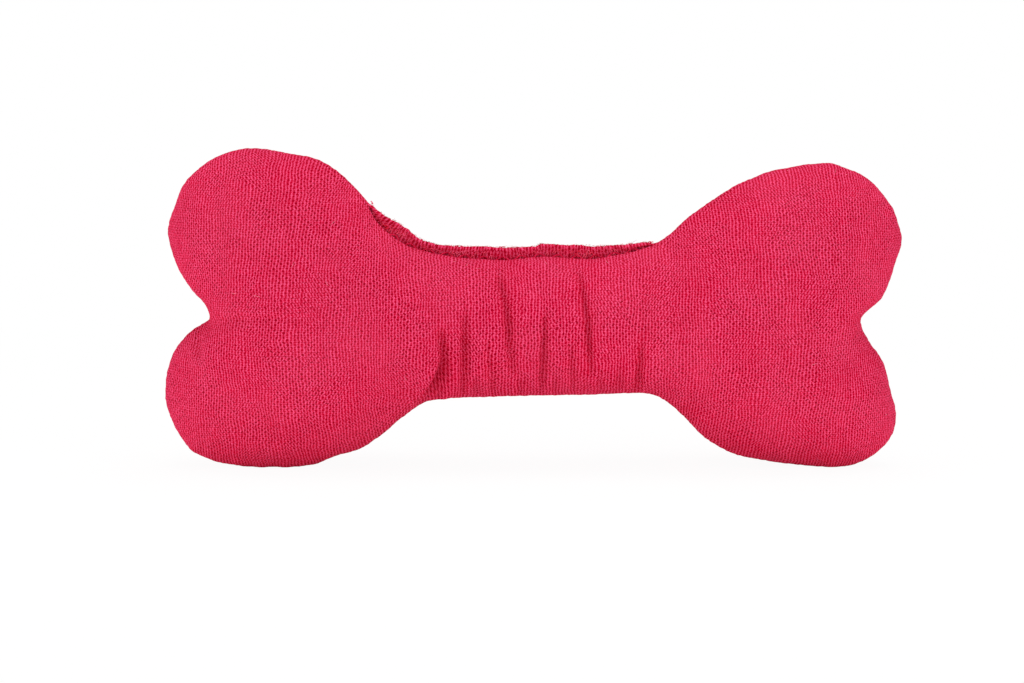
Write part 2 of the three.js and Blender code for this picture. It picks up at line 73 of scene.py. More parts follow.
# The cloth, its seam and the sewn-up stuffing opening
cloth_thickness = 1.2
seam_allowance = 4
clearance = 0.3
opening_length = 81
opening_shift = -5
raised_edge = 3.6
stitch_length = 2.5

# The knit: the width of a column of stitches and the height of a row
wale = 1.71
course = 1.39

# How finely the cover is divided
rim_count = 900
ring_count = 7
ring_reach = 3.2
lattice_step = 0.6
creased_step = 0.32
creased_margin = 4
lining_step = 2.6
curve_steps = 40

# The outline of each lobe, from the notch between the lobes to the shaft. The flank is in shares of the
# notch's depth and the lobe's rise, the crown in shares of the end's length and the rise, and the slope
# in shares of the end's length and the drop from the crest to the shaft.
upper_left = {
    "rise": 45.9,
    "flank_shares": [(0.934, 0.076), (0.605, 0.167), (0.3, 0.315)],
    "crown_shares": [(0.017, 0.5), (0.039, 0.635), (0.078, 0.783), (0.129, 0.87),
                     (0.216, 0.961), (0.32, 1)],
    "slope_shares": [(0.47, 0.046), (0.583, 0.11), (0.659, 0.224), (0.759, 0.472),
                     (0.794, 0.645), (0.887, 0.86), (1, 0.958)],
}
lower_left = {
    "rise": notch_height + foot_cut,
    "flank_shares": [(0.825, 0.043), (0.543, 0.098), (0.171, 0.249)],
    "crown_shares": [(0, 0.49), (0.009, 0.61), (0.058, 0.797), (0.096, 0.886),
                     (0.161, 0.943), (0.264, 0.985), (0.377, 1)],
    "slope_shares": [(0.547, 0.028), (0.638, 0.155), (0.727, 0.243), (0.813, 0.436),
                     (0.89, 0.675), (0.96, 0.853), (1, 0.925)],
}
upper_right = {
    "rise": 42.1,
    "flank_shares": [(0.852, 0.042), (0.505, 0.121), (0.15, 0.36)],
    "crown_shares": [(0.002, 0.525), (0.02, 0.622), (0.042, 0.713), (0.081, 0.802),
                     (0.137, 0.893), (0.283, 0.99)],
    "slope_shares": [(0.442, 0.05), (0.56, 0.13), (0.679, 0.276), (0.799, 0.483),
                     (0.88, 0.66), (0.945, 0.81), (1, 0.885)],
}
lower_right = {
    "rise": notch_height + foot_cut,
    "flank_shares": [(0.956, 0.063), (0.72, 0.174), (0.42, 0.3)],
    "crown_shares": [(0.033, 0.518), (0.014, 0.64), (0.022, 0.753), (0.053, 0.843),
                     (0.1, 0.91), (0.181, 0.98), (0.283, 1)],
    "slope_shares": [(0.42, 0.046), (0.56, 0.11), (0.679, 0.21), (0.779, 0.416),
                     (0.86, 0.68), (0.93, 0.905), (1, 1.013)],
}
# The shaft's two edges, in shares of its length and of its height
shaft_top_shares = [(0.16, -0.007), (0.34, -0.022), (0.5, 0), (0.7, -0.014), (0.865, 0.018)]
shaft_bottom_shares = [(0.25, -0.013), (0.5, -0.003), (0.77, 0.006)]

# How far the raw edge stands up along the stuffing opening, in shares of the opening's length and of the
# raised edge
raised_shares = [(0, 0), (0.03, 0.6), (0.08, 1), (0.125, 1.06), (0.155, 0.86), (0.185, 0.68), (0.24, 0.66),
                 (0.31, 0.76), (0.385, 0.92), (0.485, 0.86), (0.572, 0.74), (0.586, 0.9), (0.65, 0.9),
                 (0.72, 0.96), (0.79, 0.82), (0.855, 0.66), (0.94, 0.4), (1, 0)]

# The creases that the tight seam draws into the shaft's two sides: the path of each in shares of the shaft's
# length and height, its depth, and its widths on the left and on the right
front_crease_shares = [
    ([(0.31, 0.9), (0.338, 0.7), (0.35, 0.56), (0.356, 0.41), (0.37, 0.2)], 1.95, (0.85, 1.8)),
    ([(0.668, 0.9), (0.688, 0.7), (0.7, 0.56), (0.708, 0.41), (0.72, 0.2)], 1.95, (0.85, 1.8)),
    ([(0.165, 0.62), (0.159, 0.414), (0.157, 0.264), (0.15, 0.0)], 1.85, (0.9, 1.4)),
    ([(0.06, 0.5), (0.073, 0.34), (0.067, 0.226), (0.04, 0.117), (-0.04, -0.06)], 2.6, (1.2, 1.5)),
    ([(0.062, 0.24), (0.02, 0.05), (-0.05, -0.09)], 1.3, (1.9, 1.4)),
    ([(0.513, 0.6), (0.51, 0.414), (0.508, 0.264), (0.504, 0.05)], 1.9, (0.9, 1.5)),
    ([(0.26, 0.42), (0.272, 0.226), (0.288, 0.02)], 1.1, (1.0, 1.4)),
    ([(0.63, 0.42), (0.638, 0.226), (0.65, 0.03)], 1.1, (1.0, 1.4)),
    ([(0.98, 0.86), (0.965, 0.64), (0.952, 0.47), (0.94, 0.34), (0.934, 0.2), (0.93, 0.02)], 0.8, (1.0, 1.6)),
    ([(0.943, 0.37), (0.936, 0.22), (0.93, 0)], 1.0, (0.9, 1.3)),
    ([(-0.2, 0.6), (-0.14, 0.2), (-0.24, -0.14)], 1.7, (10, 6)),
    ([(1.2, 0.3), (1.3, -0.1)], 0.9, (8, 9)),
    ([(0.205, 0.18), (0.212, -0.02)], 0.9, (1.1, 1.3)),
    ([(0.405, 0.17), (0.41, -0.02)], 0.9, (1.1, 1.3)),
    ([(0.56, 0.18), (0.57, -0.02)], 0.9, (1.1, 1.3)),
    ([(0.765, 0.2), (0.775, 0)], 0.8, (1.1, 1.3)),
    ([(0.85, 0.22), (0.865, 0.01)], 0.8, (1.1, 1.3)),
    ([(-0.99, 0.568), (-0.81, 0.6), (-0.54, 0.62)], 0.8, (2.4, 1.0)),
    ([(-1.03, 0.45), (-1.02, 0.3)], 0.9, (1.0, 1.2)),
    ([(-0.85, -0.2), (-0.56, -0.26)], 0.6, (2.6, 2.6)),
    ([(-0.867, 1.6), (-0.875, 1.2), (-0.87, 0.75)], -0.4, (1.6, 3.0)),
]
back_crease_shares = [
    ([(0.12, 0.7), (0.13, 0.45), (0.11, 0.1)], 1.5, (1.6, 1.3)),
    ([(0.27, 0.9), (0.26, 0.7), (0.28, 0.42)], 1.2, (1.6, 1.1)),
    ([(0.33, 0.45), (0.35, 0.2), (0.34, -0.01)], 1.3, (1.3, 1.3)),
    ([(0.5, 0.85), (0.49, 0.6), (0.5, 0.3), (0.48, 0.05)], 1.5, (1.4, 2.0)),
    ([(0.63, 0.5), (0.62, 0.25), (0.64, 0.02)], 1.2, (1.2, 1.2)),
    ([(0.78, 0.82), (0.79, 0.55), (0.77, 0.25)], 1.4, (1.4, 1.6)),
    ([(0.93, 0.5), (0.95, 0.25), (0.98, 0.02)], 1.6, (1.5, 1.5)),
]

seam_half_gap = clearance / 2
edge_height = seam_half_gap + cloth_thickness
left_shaft_x = left_end_length - toy_length / 2
right_shaft_x = toy_length / 2 - right_end_length
shaft_length = right_shaft_x - left_shaft_x
shaft_height = shaft_top - shaft_bottom
opening_left = opening_shift - opening_length / 2
opening_right = opening_shift + opening_length / 2


def smooth_step(share):
    t = np.clip(share, 0, 1)
    return t * t * (3 - 2 * t)


def mix(a, b, share):
    return a + (b - a) * share


def bell(distance, width):
    return np.exp(-((distance / width) ** 2))


def unit(vectors):
    return vectors / np.maximum(np.linalg.norm(vectors, axis=-1, keepdims=True), 1e-12)


def stood_up(flat, y):
    """Points or directions of the flat pattern in space, at places along Y."""
    return np.stack([flat[..., 0], y + 0 * flat[..., 0], flat[..., 1]], -1)


# The outline

def lobe_points(lobe, side, up):
    """Outline points of one lobe, from its notch to the shaft. side is -1 at the left end, up is -1 below."""
    tip = side * toy_length / 2
    end_length = left_end_length if side < 0 else right_end_length
    depth = left_notch_depth if side < 0 else right_notch_depth
    crest = notch_height + up * lobe["rise"]
    shaft_z = shaft_top if up > 0 else shaft_bottom
    points = [(tip - side * a * reach, notch_height + up * b * lobe["rise"])
              for reach, shares in ((depth, lobe["flank_shares"]), (end_length, lobe["crown_shares"]))
              for a, b in shares]
    points += [(tip - side * a * end_length, mix(crest, shaft_z, b)) for a, b in lobe["slope_shares"]]
    return points


def shaft_place(a, b):
    return left_shaft_x + a * shaft_length, shaft_bottom + b * shaft_height


def outline_points():
    """The outline's points, clockwise from the left notch."""
    top = [shaft_place(a, 1 + b) for a, b in shaft_top_shares]
    bottom = [shaft_place(a, b) for a, b in shaft_bottom_shares]
    return np.array([
        (left_notch_depth - toy_length / 2, notch_height),
        *lobe_points(upper_left, -1, 1),
        *top,
        *reversed(lobe_points(upper_right, 1, 1)),
        (toy_length / 2 - right_notch_depth, notch_height),
        *lobe_points(lower_right, 1, -1),
        *reversed(bottom),
        *reversed(lobe_points(lower_left, -1, -1)),
    ])


def closed_curve(points):
    """A centripetal curve through a closed row of points, in small steps."""
    before, after = np.roll(points, 1, 0), np.roll(points, -1, 0)
    beyond = np.roll(points, -2, 0)
    d0, d1, d2 = (np.sqrt(np.linalg.norm(b - a, axis=1, keepdims=True))
                  for a, b in ((before, points), (points, after), (after, beyond)))
    start = ((points - before) / d0 - (after - before) / (d0 + d1) + (after - points) / d1) * d1
    end = ((after - points) / d1 - (beyond - points) / (d1 + d2) + (beyond - after) / d2) * d1
    t = (np.arange(curve_steps) / curve_steps)[None, :, None]
    curve = ((2 * t ** 3 - 3 * t ** 2 + 1) * points[:, None] + (t ** 3 - 2 * t ** 2 + t) * start[:, None]
             + (3 * t ** 2 - 2 * t ** 3) * after[:, None] + (t ** 3 - t ** 2) * end[:, None])
    return curve.reshape(-1, points.shape[1])


def even_points(closed, count):
    """Points at even distances along a closed row of points, and the row's length."""
    loop = np.vstack([closed, closed[:1]])
    travelled = np.concatenate([[0], np.cumsum(np.linalg.norm(np.diff(loop, axis=0), axis=1))])
    targets = np.linspace(0, travelled[-1], count, endpoint=False)
    return np.stack([np.interp(targets, travelled, column) for column in loop.T], 1), travelled[-1]


rim, rim_length = even_points(closed_curve(outline_points()), rim_count)
rim_along = unit(np.roll(rim, -1, 0) - np.roll(rim, 1, 0))
rim_out = np.stack([-rim_along[:, 1], rim_along[:, 0]], 1)
rim_travel = np.arange(rim_count) * rim_length / rim_count


def near_rim(points):
    """The nearest rim point of each point, and its distance from the rim, negative outside."""
    nearest = np.empty(len(points), int)
    block = 4000
    for start in range(0, len(points), block):
        gaps = ((points[start:start + block, None] - rim[None]) ** 2).sum(2)
        nearest[start:start + block] = gaps.argmin(1)
    offset = points - rim[nearest]
    inside = -(offset * rim_out[nearest]).sum(1)
    return nearest, np.sign(inside) * np.linalg.norm(offset, axis=1)


# The flat pattern, divided into rings along the rim and a lattice inside them

def is_creased(points):
    """Whether points lie in the creased shaft."""
    x = points[:, 0]
    return (x > left_shaft_x - creased_margin) & (x < right_shaft_x + creased_margin)


def lattice(step, margin):
    """A lattice of points in the pattern that keeps a margin to the rim."""
    low, high = rim.min(0), rim.max(0)
    row_step = step * math.sqrt(3) / 2
    rows = []
    for n in range(int((high[1] - low[1]) / row_step) + 1):
        xs = np.arange(low[0] + step / 2 * (n % 2), high[0], step)
        rows.append(np.stack([xs, np.full(len(xs), low[1] + n * row_step)], 1))
    points = np.vstack(rows)
    return points[near_rim(points)[1] > margin]


def face_turns(points, faces):
    """The cross product of two sides of each triangle."""
    a, b, c = (points[faces[:, k]] for k in range(3))
    return np.cross(b - a, c - a)


def fill(border, inner):
    """Triangles between a closed border and the points inside it: all points, then the triangles."""
    points = np.vstack([border, inner])
    made = delaunay_2d_cdt([Vector(p) for p in points], [], [list(range(len(border)))], 1, 1e-7)
    back = [origins[0] for origins in made[3]]
    triangles = np.array([[back[v] for v in face] for face in made[2]])
    turn = face_turns(points, triangles)
    triangles[turn < 0] = triangles[turn < 0][:, ::-1]
    return points, triangles


def ring_faces(rings):
    """Quads between neighbouring rings of points that run clockwise, from the outermost inwards."""
    faces = []
    for outer, inner in zip(rings, rings[1:]):
        faces.append(np.stack([outer, inner, np.roll(inner, -1), np.roll(outer, -1)], 1))
    return np.vstack(faces)


def make_pattern():
    """The pattern's points, its triangles, and the rings of points along its rim."""
    insets = ring_reach * (np.arange(ring_count + 1) / ring_count) ** 2
    rings = [rim - inset * rim_out for inset in insets]
    coarse = lattice(lattice_step, ring_reach + lattice_step / 2)
    fine = lattice(creased_step, ring_reach + creased_step / 2)
    inner = np.vstack([coarse[~is_creased(coarse)], fine[is_creased(fine)]])
    filled, triangles = fill(rings[-1], inner)
    outer_count = ring_count * rim_count
    points = np.vstack([*rings[:-1], filled])
    index = [np.arange(rim_count) + k * rim_count for k in range(ring_count + 1)]
    quads = ring_faces(index)
    triangles = np.vstack([triangles + outer_count, quads[:, [0, 1, 2]], quads[:, [0, 2, 3]]])
    return points, triangles, index


pattern, cells, pattern_rings = make_pattern()
rim_nearest, rim_distance = near_rim(pattern)
rim_distance[:rim_count] = 0


# Fields that are relaxed over the pattern

def corner_weights(points, faces):
    """The weights of the faces' sides for a smooth field, each side once, and the area round each point."""
    count = len(points)
    sides, weights = [], []
    areas = np.zeros(count)
    for n in range(3):
        a, b, c = faces[:, n], faces[:, (n + 1) % 3], faces[:, (n + 2) % 3]
        to_b, to_c = points[b] - points[a], points[c] - points[a]
        dot = (to_b * to_c).sum(1)
        double = np.sqrt(np.maximum((to_b ** 2).sum(1) * (to_c ** 2).sum(1) - dot ** 2, 1e-18))
        sides.append(np.minimum(b, c) * count + np.maximum(b, c))
        weights.append(dot / double / 2)
        areas += np.bincount(a, double / 6, count)
    keys, place = np.unique(np.concatenate(sides), return_inverse=True)
    total = np.bincount(place, np.concatenate(weights))
    return keys // count, keys % count, total, areas


def relax(first, second, weights, load, fixed, start, sweeps, tolerance):
    """The field whose pull along the sides balances a load, by conjugate gradients."""
    count = len(load)
    free = ~fixed

    def pull(field):
        flow = weights * (field[first] - field[second])
        return np.bincount(first, flow, count) - np.bincount(second, flow, count)

    weight = np.bincount(first, weights, count) + np.bincount(second, weights, count)
    weight = np.maximum(weight, 1e-9)
    field = start.copy()
    rest = (load - pull(field)) * free
    step = rest / weight
    size = rest @ step
    first_size = size
    for _ in range(sweeps):
        pulled = pull(step) * free
        share = size / (step @ pulled)
        field += share * step
        rest -= share * pulled
        guess = rest / weight
        new_size = rest @ guess
        if new_size < tolerance * first_size:
            break
        step = guess + new_size / size * step
        size = new_size
    return field


def swelling():
    """How high a blown-up pattern swells, from 0 at its seam to 1: the root of an evenly loaded film."""
    first, second, weights, areas = corner_weights(pattern, cells)
    fixed = np.zeros(len(pattern), bool)
    fixed[:rim_count] = True
    film = relax(first, second, weights, areas, fixed, np.zeros(len(pattern)), 1500, 1e-12)
    return np.sqrt(np.maximum(film, 0) / film.max())


def point_normals(points, faces):
    turn = face_turns(points, faces)
    normals = np.zeros_like(points)
    for k in range(3):
        for axis in range(3):
            normals[:, axis] += np.bincount(faces[:, k], turn[:, axis], len(points))
    return unit(normals)


def knit_places(points):
    """Where each point of the cloth lies in the knit: along its rows and up its columns, which follow the
    swollen surface as evenly as they can."""
    first, second, weights, _ = corner_weights(points, cells)
    weights = np.maximum(weights, 0)
    normals = point_normals(points, cells)
    places = []
    for axis, start in ((0, points[:, 0]), (2, points[:, 2])):
        direction = np.zeros(3)
        direction[axis] = 1
        wanted = unit(direction - normals * normals[:, axis:axis + 1])
        side = points[first] - points[second]
        drop = (side * (wanted[first] + wanted[second]) / 2).sum(1) * weights
        load = np.bincount(first, drop, len(points)) - np.bincount(second, drop, len(points))
        fixed = np.zeros(len(points), bool)
        fixed[np.argmin(np.linalg.norm(points[:, [0, 2]] - (0, notch_height), axis=1))] = True
        places.append(relax(first, second, weights, load, fixed, start, 400, 1e-9))
    return np.stack([places[0], places[1], np.zeros(len(points))], 1)


# Swells and creases, and the height of the raw edge

def waves(points, length, seed, count=26):
    """An even random swell of about one wavelength over any points, from about -1 to 1."""
    random = np.random.default_rng(seed)
    total = np.zeros(len(points))
    for _ in range(count):
        direction = unit(random.normal(size=points.shape[1]))
        turns = (points @ direction) / (length * random.uniform(0.7, 1.5))
        total += np.sin(2 * math.pi * (turns + random.random()))
    return total / math.sqrt(count / 2) / 2


def along_path(points, path):
    """The distance of each point from a path, with its sign, negative on the left, and how far along the
    path it lies, from 0 to 1."""
    best = np.full(len(points), np.inf)
    signed = np.zeros(len(points))
    share = np.zeros(len(points))
    lengths = np.linalg.norm(np.diff(path, axis=0), axis=1)
    total = lengths.sum()
    done = 0
    for a, b, length in zip(path, path[1:], lengths):
        way = (b - a) / length
        offset = points - a
        t = np.clip(offset @ way, 0, length)
        gap = np.linalg.norm(offset - t[:, None] * way, axis=1)
        side = -np.sign(offset[:, 0] * way[1] - offset[:, 1] * way[0])
        closer = gap < best
        best = np.where(closer, gap, best)
        signed = np.where(closer, gap * side, signed)
        share = np.where(closer, (done + t) / total, share)
        done += length
    return signed, share


def smooth_path(points, steps=8):
    """A smooth open row of points through a few chosen ones."""
    points = np.array(points, float)
    padded = np.vstack([2 * points[0] - points[1], points, 2 * points[-1] - points[-2]])
    rows = []
    for k in range(1, len(padded) - 2):
        p0, p1, p2, p3 = padded[k - 1:k + 3]
        for n in range(steps):
            t = n / steps
            rows.append(0.5 * (2 * p1 + (p2 - p0) * t + (2 * p0 - 5 * p1 + 4 * p2 - p3) * t ** 2
                               + (3 * p1 - p0 - 3 * p2 + p3) * t ** 3))
    rows.append(points[-1])
    return np.array(rows)


# The swell beside a crease, in shares of the crease's width and of its depth
swell_place_share = 2.2
swell_width_share = 1.3
swell_height_share = 0.25
# Painted shade along a crease: its width in shares of the crease's width, and the steepness where it is full
crease_shade_width_share = 0.5
fully_shaded_steepness = 2


def crease_shape(points, creases):
    """How far the creases sink the cloth at each point, with a soft swell beside each crease, and a mask of
    painted shade along each crease, fuller where the crease is steeper, from 0 to 1."""
    total = np.zeros(len(points))
    folds = np.zeros(len(points))
    for path_shares, depth, (left, right) in creases:
        signed, share = along_path(points, smooth_path([shaft_place(a, b) for a, b in path_shares]))
        width = np.where(signed < 0, left, right) * (0.75 + 0.25 * np.sin(math.pi * np.clip(share, 0, 1)))
        taper = np.sin(math.pi * np.clip(0.12 + 0.76 * share, 0, 1)) ** 0.8
        valley = bell(signed, width)
        swell = bell(np.abs(signed) - swell_place_share * width, swell_width_share * width)
        total += depth * taper * (valley - swell_height_share * swell)
        # Painted shade along the crease, fuller on steep creases, later mixed into the knit's colour
        closed = bell(signed / width, crease_shade_width_share)
        steep = np.clip(depth / (left + right) * 2 / fully_shaded_steepness, 0, 1)
        folds = np.maximum(folds, steep * taper * closed)
    return total, folds


def opening_share(points):
    """How far the raw edge stands up at places on the rim, as a share of the raised edge."""
    share = np.interp((points[:, 0] - opening_left) / opening_length, *zip(*raised_shares), left=0, right=0)
    return np.where(points[:, 1] < notch_height, 0, share)


# The cover

lump_height = 0.45
lump_length = 24
lump_margin = 9
small_lump_height = 0.14
small_lump_length = 8
crease_fade = 2.5
pucker_height = 0.22
pucker_length = 4.5
pucker_reach = 5
outline_lump = 0.12
outline_lump_length = 9
outline_lump_reach = 4
stitch_lump = 0.09
# Painted shade along the seam: the length of its patches and its strength
seam_shade_length = 2.2
seam_shade_share = 0.6
rim_rows = 10
edge_curl = 0.6
least_rise = 0.8
edge_lean = 0.45
seam_touch = 0.03


def leaning(outwards):
    """How far back the raw edge leans at a height over the rim."""
    return edge_lean * np.maximum(outwards, 0)


def rim_waves(length, seed):
    """An even random swell along the rim, at the rim point nearest to each point of the pattern."""
    turn = rim_travel / rim_length * 2 * math.pi
    circle = np.stack([np.cos(turn), np.sin(turn)], 1) * rim_length / (2 * math.pi)
    return waves(circle, length, seed)[rim_nearest]


def outer_surface(creases, seed):
    """The outside of the front panel, with its lumps, creases and puckers, in the front half: plain, as it
    is, and a mask of painted shade along its creases and along the seam at its rim, from 0 to 1."""
    full = toy_thickness / 2
    swell = math.sqrt(full * full - edge_height * edge_height)
    depth = np.hypot(swell * swollen, edge_height)
    smooth = stood_up(pattern, -depth)
    normals = point_normals(smooth, cells)
    normals[:rim_count] = stood_up(rim_out, 0)
    inside = smooth_step(rim_distance / lump_margin)
    lift = lump_height * waves(pattern, lump_length, seed) * inside
    lift += small_lump_height * waves(pattern, small_lump_length, seed + 1) * inside
    depths, folds = crease_shape(pattern, creases)
    lift -= depths * smooth_step(rim_distance / crease_fade)
    pucker = pucker_height * rim_waves(pucker_length, seed + 2)
    lift += pucker * bell(rim_distance, pucker_reach) * smooth_step(rim_distance)
    points = smooth + normals * lift[:, None]
    lumps = outline_lump * rim_waves(outline_lump_length, 5) * np.exp(-rim_distance / outline_lump_reach)
    lumps += stitch_lump * rim_waves(wale, 6) * np.exp(-rim_distance)
    points[:, [0, 2]] += rim_out[rim_nearest] * lumps[:, None]
    # Painted shade along the seam's groove at the rim, in uneven patches
    groove = smooth_step(0.5 + 0.7 * rim_waves(seam_shade_length, seed + 3))
    folds = np.maximum(folds, seam_shade_share * groove * bell(rim_distance, clearance))
    return smooth, points, folds


def rim_profile(share):
    """The rows of cloth past the rim, as (outwards, height over the seam plane) for each rim point. Where
    share is 0 the cloth rolls in to the seam, and elsewhere its raw edge stands up and curls forwards."""
    is_raised = smooth_step(share / 0.4)
    rise = share * raised_edge
    curl = np.minimum(edge_curl, rise / 2)
    angles = np.linspace(-0.1, 1.2, rim_rows - 2) * math.pi
    raised = [(0.35 * rise, 1.05)]
    raised += [(rise - curl + curl * math.sin(a), 0.25 + 0.75 * math.cos(a)) for a in angles]
    raised.append((0.4 * rise, 0))
    rows = []
    for n, (rise_out, rise_up) in enumerate(raised):
        angle = math.pi / 2 * (n + 1) / rim_rows
        out = mix(-0.8 * (1 - math.cos(angle)) * cloth_thickness, rise_out, is_raised)
        height = mix(seam_touch, edge_height, mix(1 - math.sin(angle), rise_up, is_raised))
        rows.append((out, height + leaning(out)))
    return rows


def rim_row(outwards, height, base=rim):
    """A ring of points beside the rim."""
    return stood_up(base + rim_out * np.reshape(outwards, (-1, 1)), -height)


def lining_places(tree, places):
    """The lining's points under places in the pattern. It keeps under the deepest cloth on either side, so
    that it never crosses a crease."""
    far = -2 * toy_thickness
    made = []
    for x, z in places:
        hit, normal, _, _ = tree.ray_cast(Vector((x, far, z)), Vector((0, 1, 0)))
        deepest = hit.y
        for shift in (-1, -0.67, -0.33, 0.33, 0.67, 1):
            beside, _, _, _ = tree.ray_cast(Vector((x + shift * lining_step, far, z)), Vector((0, 1, 0)))
            if beside:
                deepest = max(deepest, beside.y)
        point = hit + cloth_thickness * normal * (1 if normal.y > 0 else -1)
        point.y += deepest - hit.y
        made.append(point)
    return np.array(made)


def cover_shell(surface, share):
    """A closed shell of cloth in the front half: outside, rolled rim, seam allowance and lining."""
    base = surface[:rim_count][:, [0, 2]]
    rows = [rim_row(out, height, base) for out, height in rim_profile(share)]
    rows.append(rim_row(-seam_allowance, seam_touch))
    rows.append(rim_row(-seam_allowance, edge_height))
    rows.append(rim_row(-cloth_thickness, edge_height, base))
    normals = point_normals(surface, cells)
    for k in (3, 5, ring_count):
        ring = pattern_rings[k]
        rows.append(surface[ring] - cloth_thickness * normals[ring])
    inner = lattice(lining_step, ring_reach + lining_step)
    filled, lining = fill(pattern[pattern_rings[-1]], inner)
    tree = BVHTree.FromPolygons(surface.tolist(), cells.tolist())
    lining_points = lining_places(tree, filled[rim_count:])
    count = len(surface)
    index = [np.arange(rim_count)]
    index += [count + k * rim_count + np.arange(rim_count) for k in range(len(rows))]
    strips = ring_faces(index)[:, ::-1]
    last_start = index[-1][0]
    lining = lining[:, ::-1] + last_start
    points = np.vstack([surface, *rows, lining_points])
    return points, [*cells.tolist(), *strips.tolist(), *lining.tolist()]


def add_object(name, data):
    made = bpy.data.objects.new(name, data)
    bpy.context.scene.collection.objects.link(made)
    return made


def make_object(name, points, faces):
    """A smooth mesh object from points in millimetres."""
    mesh = bpy.data.meshes.new(name)
    mesh.from_pydata((np.asarray(points) * METRES).tolist(), [], faces)
    mesh.polygons.foreach_set("use_smooth", [True] * len(mesh.polygons))
    mesh.update()
    return add_object(name, mesh)


def give_places(made, name, places):
    """Stores where each point lies in the knit and its painted shade, or on the raw edge, for the material.
    """
    stored = made.data.attributes.new(name, "FLOAT_VECTOR", "POINT")
    stored.data.foreach_set("vector", np.asarray(places, np.float32).ravel())


def mark_raw_edge(made, share):
    """Gives the raised cloth along the opening the second material, and stores where its points lie: along
    the rim, and how far below the edge's top, in shares of its height over the rim, negative on its back."""
    places = np.zeros((len(made.data.vertices), 3))
    first = len(pattern)
    rise = np.maximum(share * raised_edge, least_rise)
    outs = np.array([out for out, _ in rim_profile(share)] + [np.full(rim_count, -seam_allowance)])
    top = outs.argmax(0)
    for k, out in enumerate(outs):
        row = slice(first + k * rim_count, first + (k + 1) * rim_count)
        places[row, 0] = rim_travel
        places[row, 1] = (outs.max(0) - out) / rise * np.where(k < top, -1, 1)
    give_places(made, "raw_edge", places)
    chosen = np.zeros(len(made.data.polygons), np.int32)
    start = len(cells) + rim_count
    chosen[start:start + rim_rows * rim_count] = np.tile(share > 0.02, rim_rows)
    made.data.polygons.foreach_set("material_index", chosen)


def grounded(points):
    """Points pressed flat where the toy stands."""
    pressed = points.copy()
    pressed[:, 2] = np.maximum(pressed[:, 2], 0)
    return pressed


def make_panel(name, node, is_back):
    """One panel of the cover, in place of its node."""
    creases = back_crease_shares if is_back else front_crease_shares
    smooth, surface, folds = outer_surface(creases, 40 if is_back else 20)
    share = opening_share(rim) if is_back else np.zeros(rim_count)
    points, faces = cover_shell(surface, share)
    places = knit_places(smooth)
    # The third place holds the mask of painted shade along the creases and the seam
    places[:, 2] = folds
    extra = len(points) - len(places)
    beyond = np.zeros((extra, 3))
    rows = (extra // rim_count) * rim_count
    beyond[:rows] = np.tile(places[:rim_count], (rows // rim_count, 1))
    for k, (out, _) in enumerate(rim_profile(share)):
        beyond[k * rim_count:(k + 1) * rim_count, 1] += np.abs(out) + k * 0.2
    points = grounded(points)
    if is_back:
        points[:, 1] *= -1
        faces = [face[::-1] for face in faces]
    made = make_object(name, points, faces)
    give_places(made, "knit", np.vstack([places, beyond]))
    if is_back:
        mark_raw_edge(made, share)
    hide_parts(node)
    return made


swollen = swelling()


# Materials

class Value:
    """A node's output that takes part in sums, each of which becomes a node."""

    def __init__(self, paint, socket):
        self.paint = paint
        self.socket = socket

    def __add__(self, other):
        return self.paint.math("ADD", self, other)

    def __sub__(self, other):
        return self.paint.math("SUBTRACT", self, other)

    def __mul__(self, other):
        return self.paint.math("MULTIPLY", self, other)


class Painter:
    """Short calls that add nodes to one tree."""

    def __init__(self, tree):
        self.nodes = tree.nodes
        self.links = tree.links

    def put(self, value, socket):
        if isinstance(value, Value):
            self.links.new(value.socket, socket)
        else:
            socket.default_value = value

    def node(self, kind, output=0, inputs=(), **settings):
        """A new node's output. inputs are values in the sockets' order, or by the sockets' names."""
        node = self.nodes.new("ShaderNode" + kind)
        for name, setting in settings.items():
            setattr(node, name, setting)
        for name, value in inputs.items() if isinstance(inputs, dict) else enumerate(inputs):
            self.put(value, node.inputs[name])
        return Value(self, node.outputs[output])

    def math(self, operation, *values, clamp=False):
        return self.node("Math", inputs=values, operation=operation, use_clamp=clamp)

    def attribute(self, name):
        return self.node("Attribute", "Vector", attribute_name=name)

    def apart(self, vector):
        node = self.nodes.new("ShaderNodeSeparateXYZ")
        self.put(vector, node.inputs[0])
        return [Value(self, output) for output in node.outputs]

    def together(self, x, y, z):
        return self.node("CombineXYZ", inputs=(x, y, z))

    def noise(self, vector, scale, detail=2.0, roughness=0.5):
        """Even noise from about 0 to 1, 0.5 on average."""
        inputs = {"Scale": scale, "Detail": detail, "Roughness": roughness, "Vector": vector}
        return self.node("TexNoise", "Fac", inputs)

    def random(self, vector):
        return self.node("TexWhiteNoise", "Value", {"Vector": vector}, noise_dimensions="3D")

    def spread(self, value, low, high, new_low=0, new_high=1):
        return self.node("MapRange", inputs=(value, low, high, new_low, new_high))

    def blend(self, share, a, b):
        return self.node("Mix", 2, {"Factor": share, 6: a, 7: b}, data_type="RGBA")

    def place(self):
        return self.node("TexCoord", "Object")

    def bump(self, height, distance):
        inputs = {"Strength": 1, "Distance": distance * METRES, "Height": height}
        self.set(Normal=self.node("Bump", inputs=inputs))

    def set(self, **values):
        """Sets or links the surface shader's sockets."""
        for name, value in values.items():
            self.put(value, self.nodes["Principled BSDF"].inputs[name.replace("_", " ")])

    def backdrop_share(self):
        """1 where the backdrop is seen, straight or in gloss or glass, and 0 where it lights the toy."""
        rays = self.nodes.new("ShaderNodeLightPath").outputs
        share = Value(self, rays["Is Camera Ray"])
        for other in ("Is Glossy Ray", "Is Transmission Ray"):
            share = self.math("MAXIMUM", share, Value(self, rays[other]))
        return share


def new_material(name):
    """A material, and the painter of its nodes."""
    material = bpy.data.materials.new(name)
    material.use_nodes = True
    return material, Painter(material.node_tree)


def screen(red, green, blue):
    """A colour given as it shows on a screen, from 0 to 255."""
    linear = [((c / 255 + 0.055) / 1.055) ** 2.4 if c > 10 else c / 255 / 12.92 for c in (red, green, blue)]
    return *linear, 1
